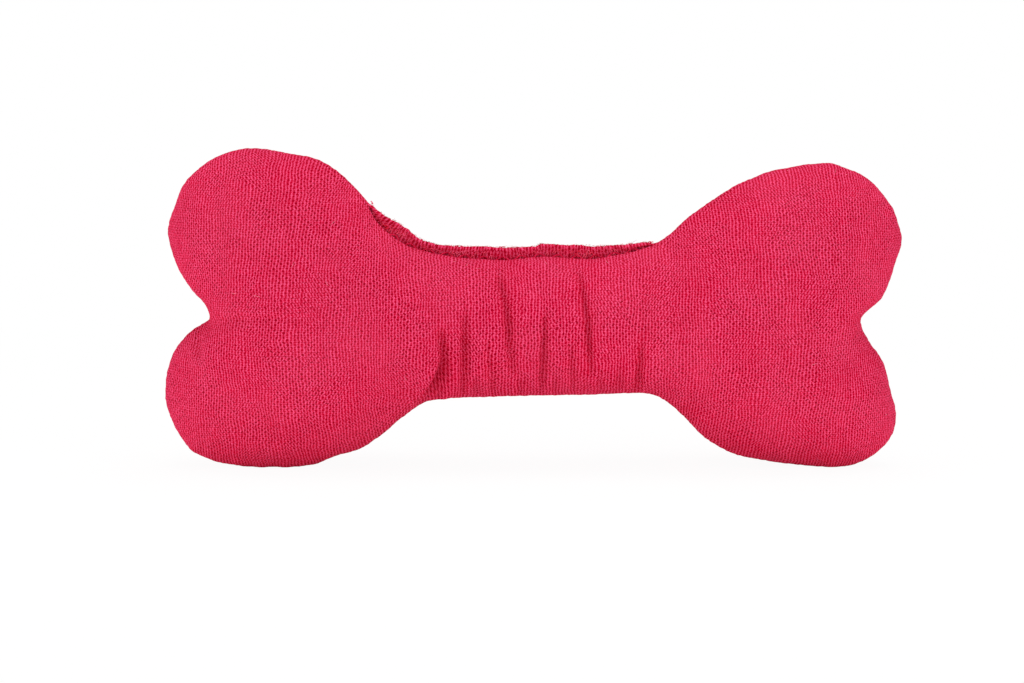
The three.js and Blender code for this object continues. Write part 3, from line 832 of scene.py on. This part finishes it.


# Painted shade for the knit's gaps, the yarn's own colour, and a painted highlight for the tops of its yarn
gap_shade_pink = screen(164, 0, 28)
thread_pink = screen(212, 5, 54)
yarn_highlight_pink = screen(255, 93, 141)
# Painted shade for the knit's creases and seam
crease_shade_pink = screen(164, 0, 32)
pale_pink = screen(250, 96, 134)
deep_pink = screen(190, 14, 48)
sheen_pink = screen(255, 150, 180)
plain_white = (1, 1, 1, 1)

# The knit's gaps and beads: their reach in shares of half a column, their height of a row and their depth
# of the yarn's. Of two depths, the first is where the columns stand out and the second where the gaps do.
# The depth of each gap is spread between two shares of it.
gap_reach_share = 0.42
gap_height_share = 0.33
gap_depth_shares = (0.64, 1.05)
gap_spread_shares = (0.7, 1.3)
bead_height_share = 0.18
bead_depth_share = 0.48
line_depth_shares = (0.2, 0.1)


def knit_height(paint, half, row, netted):
    """The knit's height, from 0 in its deepest gaps to 1 on its yarn. half counts half columns of stitches
    and row counts rows: a gap lies inside each V and half a row lower between the Vs, with a small one
    between gaps. netted is 0 where the columns stand out and 1 where the gaps do."""

    def off_middle(count, reach):
        """How far a count is from the middle of its step, in shares of a reach, squared."""
        off = (paint.math("FRACT", count) - 0.5) * (1 / reach)
        return off * off

    which = paint.math("FLOOR", half)
    shifted = row + paint.math("FLOORED_MODULO", which, 2) * 0.5
    beside = off_middle(half, gap_reach_share)
    gap = paint.math("SUBTRACT", 1, beside + off_middle(shifted, gap_height_share), clamp=True)
    bead = paint.math("SUBTRACT", 1, beside + off_middle(shifted + 0.5, bead_height_share), clamp=True)
    own = paint.random(paint.together(which, paint.math("FLOOR", shifted), 0))
    depth = paint.spread(netted, 0, 1, *gap_depth_shares) * paint.spread(own, 0, 1, *gap_spread_shares)
    line = (paint.math("COSINE", half * (2 * math.pi)) - 1) * 0.5
    line *= paint.spread(netted, 0, 1, *line_depth_shares)
    return line + 1 - depth * gap - bead * bead_depth_share


def knit_material():
    """Plain knit: columns of V-shaped stitches, pulled a little out of line, with painted shade in the gaps
    between legs and painted highlights on the yarn.
    """
    material, paint = new_material("cover_knit")
    across, up, crease_shade = paint.apart(paint.attribute("knit"))
    soft = paint.together(across, up, 0)
    turned = paint.together(up, across, 7)

    def drift(place, slow, quick):
        """How far the stitches are pulled off their places, in wide and in narrow waves."""
        return (paint.noise(place, 0.12) - 0.5) * slow + (paint.noise(place, 0.7) - 0.5) * quick

    row = up * (1 / course) + drift(turned, 0.8, 0.34)
    lean = paint.spread(paint.noise(soft, 0.07), 0.38, 0.62, -0.24, 0.24)
    half = (across * (1 / wale) + drift(soft, 1.0, 0.34)) * 2 + (paint.math("FRACT", row) - 0.5) * (lean * 2)
    netted = paint.spread(paint.noise(turned, 0.09), 0.4, 0.6)
    height = knit_height(paint, half, row, netted)
    leg = paint.together(paint.math("FLOOR", half + 0.5), paint.math("FLOOR", row * 2), 4)
    fibres = paint.noise(paint.together(across * 1.6, up, 3), 3.4)
    shade = height + (paint.random(leg) - 0.5) * 0.12 + (fibres - 0.5) * 1.25
    # Painted shade in the gaps and painted highlights on the yarn, from the knit's height and its random
    # fibres
    colour = paint.blend(paint.spread(shade, 0.04, 0.68), gap_shade_pink, thread_pink)
    colour = paint.blend(paint.spread(shade, 0.68, 1.16), colour, yarn_highlight_pink)
    colour = paint.blend(paint.spread(paint.noise(soft, 0.05), 0.42, 0.7, 0, 0.08), colour, pale_pink)
    worn = paint.noise(paint.together(across * 1.5, up * 0.5, 5), 0.1, detail=1.0)
    colour = paint.blend(paint.spread(worn, 0.42, 0.75, 0, 0.1), colour, deep_pink)
    # Painted shade along the creases and the seam, from the mask stored with the knit's places
    colour = paint.blend(paint.spread(crease_shade, 0.04, 1, 0, 0.42), colour, crease_shade_pink)
    paint.set(Base_Color=colour, Roughness=paint.spread(shade, 0, 1, 0.98, 0.85))
    paint.set(Specular_IOR_Level=0.01, Sheen_Weight=0.025, Sheen_Roughness=0.25, Sheen_Tint=sheen_pink)
    paint.bump(height, 0.12)
    return material


purl_pitch = wale / 2
crescent_shade_length = 24


def raw_edge_material():
    """The raw edge: slanting strokes of yarn under a curl with a painted highlight, painted crimson shade
    down in the groove, and painted shade along its very top and at the opening's left end.
    """
    material, paint = new_material("raw_edge")
    travel, down, _ = paint.apart(paint.attribute("raw_edge"))
    here = paint.together(travel, down * raised_edge, 0)
    stroke = travel * (1 / purl_pitch) + down + (paint.noise(here, 0.6) - 0.5) * 2.4
    fibres = paint.noise(here, 2.0)
    shade = paint.math("SINE", stroke * (2 * math.pi)) * 0.1 + (fibres - 0.5) * 2.8
    # Painted shade for the groove, a painted highlight for the curl, and painted shade along the edge's very
    # top
    low = paint.blend(paint.spread(shade, -0.6, 0.6), screen(246, 4, 40), screen(255, 60, 100))
    high = paint.blend(paint.spread(shade, -0.6, 0.6), screen(255, 76, 114), screen(255, 196, 212))
    top = paint.blend(paint.spread(shade, -0.4, 0.6), screen(206, 0, 44), screen(255, 64, 106))
    colour = paint.blend(paint.spread(down, 0.4, 0.9), high, low)
    colour = paint.blend(paint.spread(paint.math("ABSOLUTE", down), 0.05, 0.14, 1, 0), colour, top)
    # Painted shade in the hollow crescent at the opening's left end
    left = paint.spread(travel, opening_from, opening_from + crescent_shade_length, 0.6, 0)
    colour = paint.blend(left, colour, screen(192, 0, 34))
    paint.set(Base_Color=colour, Roughness=paint.spread(fibres, 0.3, 0.7, 0.85, 1), Specular_IOR_Level=0.02)
    paint.bump(shade, 0.12)
    return material


def yarn_material(name, dark, light, twist, sheen):
    """Yarn or thread: a twisted colour with fine fibres."""
    material, paint = new_material(name)
    fibres = paint.noise(paint.place(), 3200.0, detail=3.0)
    patches = paint.noise(paint.place(), 420.0)
    share = fibres * twist + patches * (1 - twist)
    colour = paint.blend(paint.spread(share, 0.34, 0.66), dark, light)
    paint.set(Base_Color=colour, Roughness=paint.spread(fibres, 0.3, 0.7, 0.8, 0.98))
    paint.set(Specular_IOR_Level=0.05, Sheen_Weight=sheen, Sheen_Roughness=0.4, Sheen_Tint=sheen_pink)
    paint.bump(fibres, 0.05)
    return material


def fibre_material():
    """White polyester filling: soft lumps under a haze of fine crossing fibres."""
    material, paint = new_material("fibre_filling")
    x, y, z = paint.apart(paint.place())
    strands = (paint.noise(paint.together(x * 0.25, y, z * 0.4), 2600.0, detail=4.0)
               + paint.noise(paint.together(x, y * 0.3, z * 1.1), 2100.0, detail=4.0))
    lumps = paint.noise(paint.place(), 160.0, detail=3.0)
    shade = paint.spread(strands * 0.35 + lumps * 0.3, 0.38, 0.6)
    colour = paint.blend(shade, screen(206, 203, 197), screen(248, 247, 244))
    paint.set(Base_Color=colour, Roughness=paint.spread(lumps, 0.3, 0.7, 0.9, 1))
    paint.set(Specular_IOR_Level=0.15, Sheen_Weight=0.4, Sheen_Roughness=0.5)
    paint.bump(strands, 0.25)
    return material


def plastic_material(name, dark, light, roughness, speck, see_through):
    """Moulded plastic: faint flow marks, a fine satin grain and small scuffs."""
    material, paint = new_material(name)
    flow = paint.noise(paint.place(), 130.0)
    grain = paint.noise(paint.place(), 5200.0, detail=1.0)
    scuff = paint.noise(paint.place(), 900.0, detail=4.0, roughness=0.7)
    paint.set(Base_Color=paint.blend(paint.spread(flow, 0.35, 0.65), dark, light))
    paint.set(Roughness=paint.spread(scuff, 0.45, 0.75, roughness, roughness + 0.2))
    paint.set(Subsurface_Weight=see_through, Subsurface_Radius=(0.002, 0.002, 0.0018), Subsurface_Scale=1.0)
    paint.bump(grain * speck + scuff * (1 - speck), 0.02)
    return material


# The stage, the lamps and the camera

camera_elevation = 6
camera_distance = 774
camera_lens = 100
aim_x = -5.6
aim_z = 33.9

# Each lamp's place, width and power in watts
lamps = {
    "top_lamp": ((60, 60, 900), 700, 3.75),
    "left_lamp": ((-800, -250, 200), 520, 2.2),
    "right_lamp": ((620, -560, 300), 400, 1.62),
    "front_lamp": ((150, -850, 90), 520, 0.5),
}
room_light = 0.47
floor_size = 6000
floor_bounce = 0.12
floor_glow_near_share = 0.94
floor_glow_reach = 420


def make_camera():
    data = bpy.data.cameras.new("camera")
    data.lens = camera_lens
    camera = add_object("camera", data)
    tilt = math.radians(camera_elevation)
    aim = Vector((aim_x, 0, aim_z))
    back = Vector((0, -math.cos(tilt), math.sin(tilt)))
    camera.location = (aim + back * camera_distance) * METRES
    camera.rotation_euler = (math.radians(90) - tilt, 0, 0)
    bpy.context.scene.camera = camera


def make_lamp(name, place, size, energy):
    """A round lamp that faces the toy's middle."""
    data = bpy.data.lights.new(name, "AREA")
    data.shape = "DISK"
    data.size = size * METRES
    data.energy = energy
    lamp = add_object(name, data)
    lamp.location = Vector(place) * METRES
    way = Vector((0, 0, notch_height)) - Vector(place)
    lamp.rotation_euler = way.to_track_quat("-Z", "Y").to_euler()


def make_world():
    """Room light on the toy, in front of a white backdrop."""
    world = bpy.data.worlds.new("room")
    world.use_nodes = True
    bpy.context.scene.world = world
    paint = Painter(world.node_tree)
    paint.nodes.remove(paint.nodes["Background"])
    lit = paint.node("Background", inputs={"Color": plain_white, "Strength": room_light})
    seen = paint.node("Background", inputs={"Color": plain_white})
    both = paint.node("MixShader", inputs=(paint.backdrop_share(), lit, seen))
    paint.put(both, paint.nodes["World Output"].inputs["Surface"])


def make_floor():
    """A pale floor that keeps the toy's shadow and fades into the backdrop."""
    half = floor_size / 2
    floor = make_object("floor", [(-half, -half, 0), (half, -half, 0), (half, half, 0), (-half, half, 0)],
                        [(0, 1, 2, 3)])
    material, paint = new_material("floor_white")
    paint.set(Base_Color=screen(250, 250, 250), Roughness=1)
    paint.set(Emission_Color=plain_white, Emission_Strength=floor_bounce)
    far = paint.node("VectorMath", "Value", (paint.place(),), operation="LENGTH")
    reach = floor_glow_reach * METRES
    fade = paint.node("MapRange", inputs=(far, reach / 3, reach, floor_glow_near_share, 1),
                      interpolation_type="SMOOTHSTEP")
    surface = Value(paint, paint.nodes["Principled BSDF"].outputs[0])
    both = paint.node("MixShader", inputs=(paint.backdrop_share() * fade, surface, paint.node("Emission")))
    paint.put(both, paint.nodes["Material Output"].inputs["Surface"])
    floor.data.materials.append(material)


# The yarn, the threads and the fibres

def make_tubes(name, paths, radii, sides, upright):
    """An object of closed round tubes along rows of points: paths is (tubes, points, 3), radii fits (tubes,
    points), and upright is a direction for each tube that its path never follows."""
    paths = np.array(paths)
    count, steps = paths.shape[:2]
    along = unit(np.gradient(paths, axis=1))
    first = unit(np.cross(along, np.asarray(upright)[:, None, :]))
    second = np.cross(along, first)
    angle = 2 * math.pi * np.arange(sides) / sides
    around = first[:, :, None] * np.cos(angle)[:, None] + second[:, :, None] * np.sin(angle)[:, None]
    radii = np.broadcast_to(radii, (count, steps))
    points = paths[:, :, None] + around * radii[:, :, None, None]
    faces = []
    turn = np.arange(sides)
    following = np.roll(turn, -1)
    for tube in range(count):
        start = tube * steps * sides
        for n in range(steps - 1):
            low, high = start + n * sides, start + (n + 1) * sides
            faces += np.stack([low + turn, low + following, high + following, high + turn], 1).tolist()
        faces.append((start + turn[::-1]).tolist())
        faces.append((start + (steps - 1) * sides + turn).tolist())
    return make_object(name, grounded(points.reshape(-1, 3)), faces)


closed_travel = np.append(rim_travel, rim_length)


def on_rim(distance):
    """The rim's places at distances along it from the left notch, and the directions out of it there."""
    distance = np.mod(distance, rim_length)
    place, out = (np.stack([np.interp(distance, closed_travel, np.append(column, column[0]))
                            for column in row.T], -1) for row in (rim, rim_out))
    return place, unit(out)


def beside_rim(distance, outwards, y):
    """Points at distances along the rim, moved outwards from it, and at a place along Y."""
    place, out = on_rim(distance)
    return stood_up(place + out * np.asarray(outwards)[..., None], y)


def beside_edge(distance, outwards, y):
    """The same beside the raw edge, which leans back."""
    return beside_rim(distance, outwards, y + leaning(outwards))


opening_shares = opening_share(rim)
opening_travel = rim_travel[opening_shares > 0.02]
opening_from, opening_to = opening_travel.min(), opening_travel.max()

yarn_radius = 0.13
loop_rows = 2
loop_points = 9
loop_sides = 5
least_looped = 0.7
skipped_share = 0.68


def raised_height(distance):
    """How far the raw edge stands over the rim at a distance along it, with its uneven cut."""
    share = np.interp(distance, rim_travel, opening_shares)
    uneven = 0.03 * np.sin(distance * 0.55) + 0.02 * np.sin(distance * 1.31)
    return share * smooth_step(share / 0.25) * raised_edge * (1 + uneven)


def make_edge_loops():
    """The loops of yarn on the raised raw edge: rows of arches on its face, and cut loops along its top."""
    random = np.random.default_rng(71)
    paths, ups = [], []
    columns = np.arange(opening_from, opening_to, purl_pitch)
    angle = np.linspace(-0.25 * math.pi, 1.25 * math.pi, loop_points)
    for row in range(loop_rows + 1):
        is_top = row == loop_rows
        for column in columns:
            middle = column + (purl_pitch / 2 if row % 2 else 0) + random.normal(0, 0.26)
            height = raised_height(middle)
            if height < least_looped or random.random() < skipped_share:
                continue
            level = height * (0.14 + 0.28 * row) + random.normal(0, 0.3)
            if is_top:
                level = height - random.uniform(0.1, 0.35)
            width = purl_pitch * random.uniform(0.36, 0.5)
            rise = random.uniform(0.1, 0.28) if is_top else height * random.uniform(0.12, 0.2)
            lean = random.normal(0.1, 0.2)
            along = middle + width * np.cos(angle) + lean * np.sin(angle)
            outwards = level + rise * np.sin(angle)
            bulge = 0.1 + 0.2 * np.sin(np.clip(angle, 0, math.pi)) + random.uniform(0, 0.1)
            y = seam_half_gap + (0.5 if is_top else -0.15 * row - bulge) + random.normal(0, 0.04)
            paths.append(beside_edge(along, outwards, y))
            ups.append((0.1, 1, 0.1))
    radii = yarn_radius * random.uniform(0.85, 1.15, (len(paths), 1))
    return make_tubes("raw_edge_loops", paths, radii, loop_sides, ups)


fibre_radius = 0.05
fibre_sides = 3
fuzz_count = 1900
least_fuzzy = 0.9
tuft_shares = [0.11, 0.13, 0.52, 0.535, 0.81, 0.9]


def make_edge_fuzz():
    """Short loose fibres on the raw edge, with a few tufts where its yarn has frayed."""
    random = np.random.default_rng(72)
    steps = 6
    t = np.linspace(0, 1, steps)
    paths, ups = [], []
    for n in range(fuzz_count):
        in_tuft = n % 11 == 0
        if in_tuft:
            share = random.choice(tuft_shares) + random.normal(0, 0.006)
        else:
            share = random.random()
        distance = mix(opening_from, opening_to, np.clip(share, 0, 1))
        height = raised_height(distance)
        if height < least_fuzzy:
            continue
        level = height * (1 if random.random() < 0.25 else random.random())
        reach = random.uniform(0.25, 0.6) * (1.9 if in_tuft else 1)
        slant, bend = random.normal(0, 0.5), random.normal(0, 0.5)
        along = distance + reach * (slant * t + bend * t * t)
        outwards = level + reach * t * random.uniform(0.2, 1) - 0.3 * reach * t * t
        y = seam_half_gap + 0.3 - reach * t * random.uniform(0.1, 0.9)
        paths.append(beside_edge(along, outwards, y))
        ups.append(unit(random.normal(size=3)))
    radii = fibre_radius * np.linspace(1, 0.4, steps)
    return make_tubes("raw_edge_fuzz", paths, radii, fibre_sides, ups)


stitch_radius = 0.16
stitch_depth = 0.62
stitch_bulge = 0.28
stitch_slant = 0.35
stitch_margin = 1
thread_sides = 6


def make_seam_stitches():
    """The seam's stitches where they cross between the two panels, deep in the seam's groove."""
    random = np.random.default_rng(73)
    sewn = np.arange(opening_to + stitch_margin, opening_from - stitch_margin + rim_length, stitch_length)
    angle = np.linspace(0, math.pi, 7)
    paths = []
    for distance in sewn:
        lean = random.normal(0, 0.12) + stitch_slant
        along = distance + lean * np.cos(angle)
        outwards = -stitch_depth + stitch_bulge * np.sin(angle)
        paths.append(beside_rim(along, outwards, stitch_depth * np.cos(angle)))
    out = stood_up(on_rim(sewn)[1], 0)
    return make_tubes("seam_stitches", paths, stitch_radius, thread_sides, np.cross(out, (0, 1, 0)))


closing_stitch = 5
closing_margin = 6
closing_radius = 0.2
closing_reach = 0.7
closing_dip = 0.3
closing_lift = 0.35
closing_twist = 1.1


def make_closing_thread():
    """The two-ply thread that closes the stuffing opening, to and fro between its two edges."""
    reach = opening_length - 2 * closing_margin
    stitches = round(reach / closing_stitch)
    steps = 18 * stitches
    t = np.linspace(0, 1, steps + 1)
    raised = opening_shares > 0
    ends = (opening_left + closing_margin, opening_right - closing_margin)
    low, high = np.interp(ends, rim[raised, 0], rim_travel[raised])
    swing = (1 - np.cos(2 * math.pi * stitches * t)) / 2
    outwards = mix(-closing_dip, closing_reach, swing)
    y = mix(-edge_height, seam_half_gap, swing) - closing_lift
    path = beside_edge(mix(low, high, t), outwards, y)
    turn = t * stitches * closing_stitch / closing_twist * 2 * math.pi
    along = unit(np.gradient(path, axis=0))
    side = unit(np.cross(along, (0, 0.3, 1)))
    other = np.cross(along, side)
    plies = [path + closing_radius * 0.55 * (side * np.cos(ply)[:, None] + other * np.sin(ply)[:, None])
             for ply in (turn, turn + math.pi)]
    made = make_tubes("closing_stitches", plies, closing_radius * 0.62, thread_sides, [(0, 0.3, 1)] * 2)
    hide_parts("closing_thread")
    return made


# Where loose fibres of lint lie on the front, in shares of the toy's length and height
lint_shares = [(0.228, 0.6), (0.105, 0.565), (0.905, 0.93), (0.184, 0.655), (0.136, 0.56), (0.235, 0.78),
               (0.45, 0.645), (0.87, 0.35), (0.33, 0.3), (0.411, 0.64), (0.425, 0.63), (0.518, 0.645),
               (0.5645, 0.65), (0.395, 0.65), (0.6, 0.648)]
lint_radius = 0.042
lint_sides = 5
lint_lift = 0.06
lint_jitter = 9


def make_lint(name, tree, side):
    """Sparse loose fibres that lie on the cloth of one panel, on its side of the seam: -1 is the front."""
    random = np.random.default_rng(74 if side < 0 else 75)
    jitter = 0 if side < 0 else lint_jitter
    steps = 9
    t = np.linspace(-1, 1, steps)
    paths, ups = [], []
    for share_x, share_z in lint_shares:
        x = (share_x - 0.5) * toy_length + random.normal(0, 1) * jitter
        z = share_z * (notch_height + upper_left["rise"]) + random.normal(0, 1) * jitter
        half = random.uniform(0.4, 1.1)
        heading, bend = random.uniform(0, math.pi), random.normal(0, 0.2)
        run = np.stack([x + half * (t * math.cos(heading) - bend * t * t * math.sin(heading)),
                        z + half * (t * math.sin(heading) + bend * t * t * math.cos(heading))], 1)
        path = []
        for (px, pz), lift in zip(run, lint_lift + 0.2 * np.abs(t) ** 3):
            hit, normal, _, _ = tree.ray_cast(Vector((px, side * toy_thickness, pz)), Vector((0, -side, 0)))
            if hit is None:
                break
            path.append(np.array(hit) + np.array(normal) * lift * (1 if normal.y * side > 0 else -1))
        if len(path) == steps:
            paths.append(path)
            ups.append(unit(random.normal(size=3)))
    radii = lint_radius * np.sin(np.linspace(0.5, 2.6, steps))
    return make_tubes(name, paths, radii, lint_sides, ups)


# The filling and the squeaker

wad_voxel = 1.7
wad_shrink = 2.5
wad_lump_heights = (0.45, 0.2)
wad_lump_lengths = (9, 4)
wad_lump_limit = 0.7
squeaker_diameter = 24
squeaker_wall = 1.2
squeaker_rim = 0.8
bellows_wall = 0.7
bellows_depth = 2.4
bellows_folds = 3


def make_wad(node):
    """A lumpy wad of fibre filling, drawn in a little from its node's solid and from the cover's creases."""
    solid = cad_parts[node]
    copy = add_object(node + "_wad", solid.data.copy())
    copy.data.materials.clear()
    remesh = copy.modifiers.new("voxels", "REMESH")
    remesh.mode = "VOXEL"
    remesh.voxel_size = wad_voxel * METRES
    smooth = copy.modifiers.new("smooth", "SMOOTH")
    smooth.iterations = 6
    bpy.context.view_layer.update()
    ready = bpy.data.meshes.new_from_object(copy.evaluated_get(bpy.context.evaluated_depsgraph_get()))
    copy.modifiers.clear()
    copy.data = ready
    count = len(ready.vertices)
    points, normals = np.zeros(count * 3, np.float32), np.zeros(count * 3, np.float32)
    ready.vertices.foreach_get("co", points)
    ready.vertex_normals.foreach_get("vector", normals)
    points = points.reshape(-1, 3) / METRES
    normals = normals.reshape(-1, 3)
    lumps = sum(height * waves(points, length, 90 + n)
                for n, (height, length) in enumerate(zip(wad_lump_heights, wad_lump_lengths)))
    points += normals * (np.clip(lumps, -wad_lump_limit, wad_lump_limit) - wad_shrink)[:, None]
    if node == "filling_shaft_front":
        depths, _ = crease_shape(points[:, [0, 2]], front_crease_shares)
        points[:, 1] += np.maximum(depths, 0) * np.clip(-normals[:, 1], 0, 1)
    ready.vertices.foreach_set("co", (points * METRES).astype(np.float32).ravel())
    ready.polygons.foreach_set("use_smooth", [True] * len(ready.polygons))
    ready.update()
    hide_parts(node)
    return copy


def make_bellows():
    """The squeaker's accordion wall, with round folds."""
    middle = (Vector(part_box("squeaker_base")[0]) + Vector(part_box("squeaker_base")[1])) / 2 / METRES
    low, high = (corner[1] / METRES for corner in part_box("squeaker_bellows"))
    radius = squeaker_diameter / 2
    foot = radius - squeaker_wall - clearance
    fold_end = high - squeaker_rim
    steps = 10 * bellows_folds
    heights = np.linspace(-fold_end, fold_end, 2 * steps + 1)
    swing = np.cos(2 * math.pi * bellows_folds * (heights + fold_end) / (2 * fold_end))
    reach = mix(foot, radius, (1 - swing) / 2) - bellows_depth * 0.25 * (1 + swing)
    reach[[0, -1]] = foot
    outer = [(foot, low), *zip(reach, heights), (foot, high)]
    profile = [*outer, *[(r - bellows_wall, y) for r, y in reversed(outer)]]
    turns = 72
    angle = 2 * math.pi * np.arange(turns) / turns
    points = [(middle.x + r * math.cos(a), y, middle.z + r * math.sin(a)) for a in angle for r, y in profile]
    rows = len(profile)
    faces = [(((t + 1) % turns) * rows + n, ((t + 1) % turns) * rows + (n + 1) % rows,
              t * rows + (n + 1) % rows, t * rows + n) for t in range(turns) for n in range(rows)]
    made = make_object("bellows_wall", points, faces)
    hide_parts("squeaker_bellows")
    return made


# The toy

bpy.context.scene.view_settings.view_transform = "Standard"
make_camera()
make_world()
make_floor()
for name, (place, size, energy) in lamps.items():
    make_lamp(name, place, size, energy)

knit = knit_material()
raw_edge = raw_edge_material()
raw_yarn = yarn_material("raw_yarn", screen(226, 4, 48), screen(255, 104, 144), 0.35, 0)
loose_fibre = yarn_material("loose_fibre", screen(184, 2, 36), screen(255, 96, 134), 0.5, 0)
lint_fibre = yarn_material("lint_fibre", screen(238, 104, 138), screen(255, 176, 196), 0.5, 0)
thread = yarn_material("sewing_thread", screen(120, 0, 22), screen(190, 18, 54), 0.6, 0.1)
closing_thread = yarn_material("closing_thread", screen(176, 0, 34), screen(238, 38, 86), 0.6, 0)
filling = fibre_material()
milky = plastic_material("squeaker_plastic", screen(222, 220, 208), screen(236, 234, 224), 0.38, 0.5, 0.25)
white = plastic_material("whistle_plastic", screen(240, 240, 236), screen(248, 248, 244), 0.3, 0.3, 0.05)


def dress(piece, material):
    piece.data.materials.clear()
    piece.data.materials.append(material)
    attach(piece, "bone")
    return piece


front_cover = dress(make_panel("front_cover", "front_panel", False), knit)
back_cover = dress(make_panel("back_cover", "back_panel", True), knit)
back_cover.data.materials.append(raw_edge)
lints = []
for name, side, cover in (("front_lint", -1, front_cover), ("back_lint", 1, back_cover)):
    shape = cover.data
    corners = [v.co / METRES for v in shape.vertices]
    tree = BVHTree.FromPolygons(corners, [p.vertices[:] for p in shape.polygons])
    lints.append(dress(make_lint(name, tree, side), lint_fibre))

dress(make_edge_loops(), raw_yarn)
dress(make_edge_fuzz(), loose_fibre)
dress(make_seam_stitches(), thread)
dress(make_closing_thread(), closing_thread)
wads = [dress(make_wad(node), filling) for node in
        ("filling_upper_left", "filling_lower_left", "filling_upper_right", "filling_lower_right",
         "filling_shaft_front", "filling_shaft_back")]
bellows = dress(make_bellows(), milky)

for node, material in (("needle_thread", thread), ("bobbin_thread", thread), ("squeaker_press", milky),
                       ("squeaker_base", milky), ("whistle_tube", white), ("whistle_plug", white),
                       ("reed", white)):
    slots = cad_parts[node].data.materials
    slots.clear()
    slots.append(material)

# The front half's cover, lint and wads, and the bellows, each get a mesh of their own
for piece in (front_cover, lints[0], *wads[:5]):
    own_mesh(piece)
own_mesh(bellows)
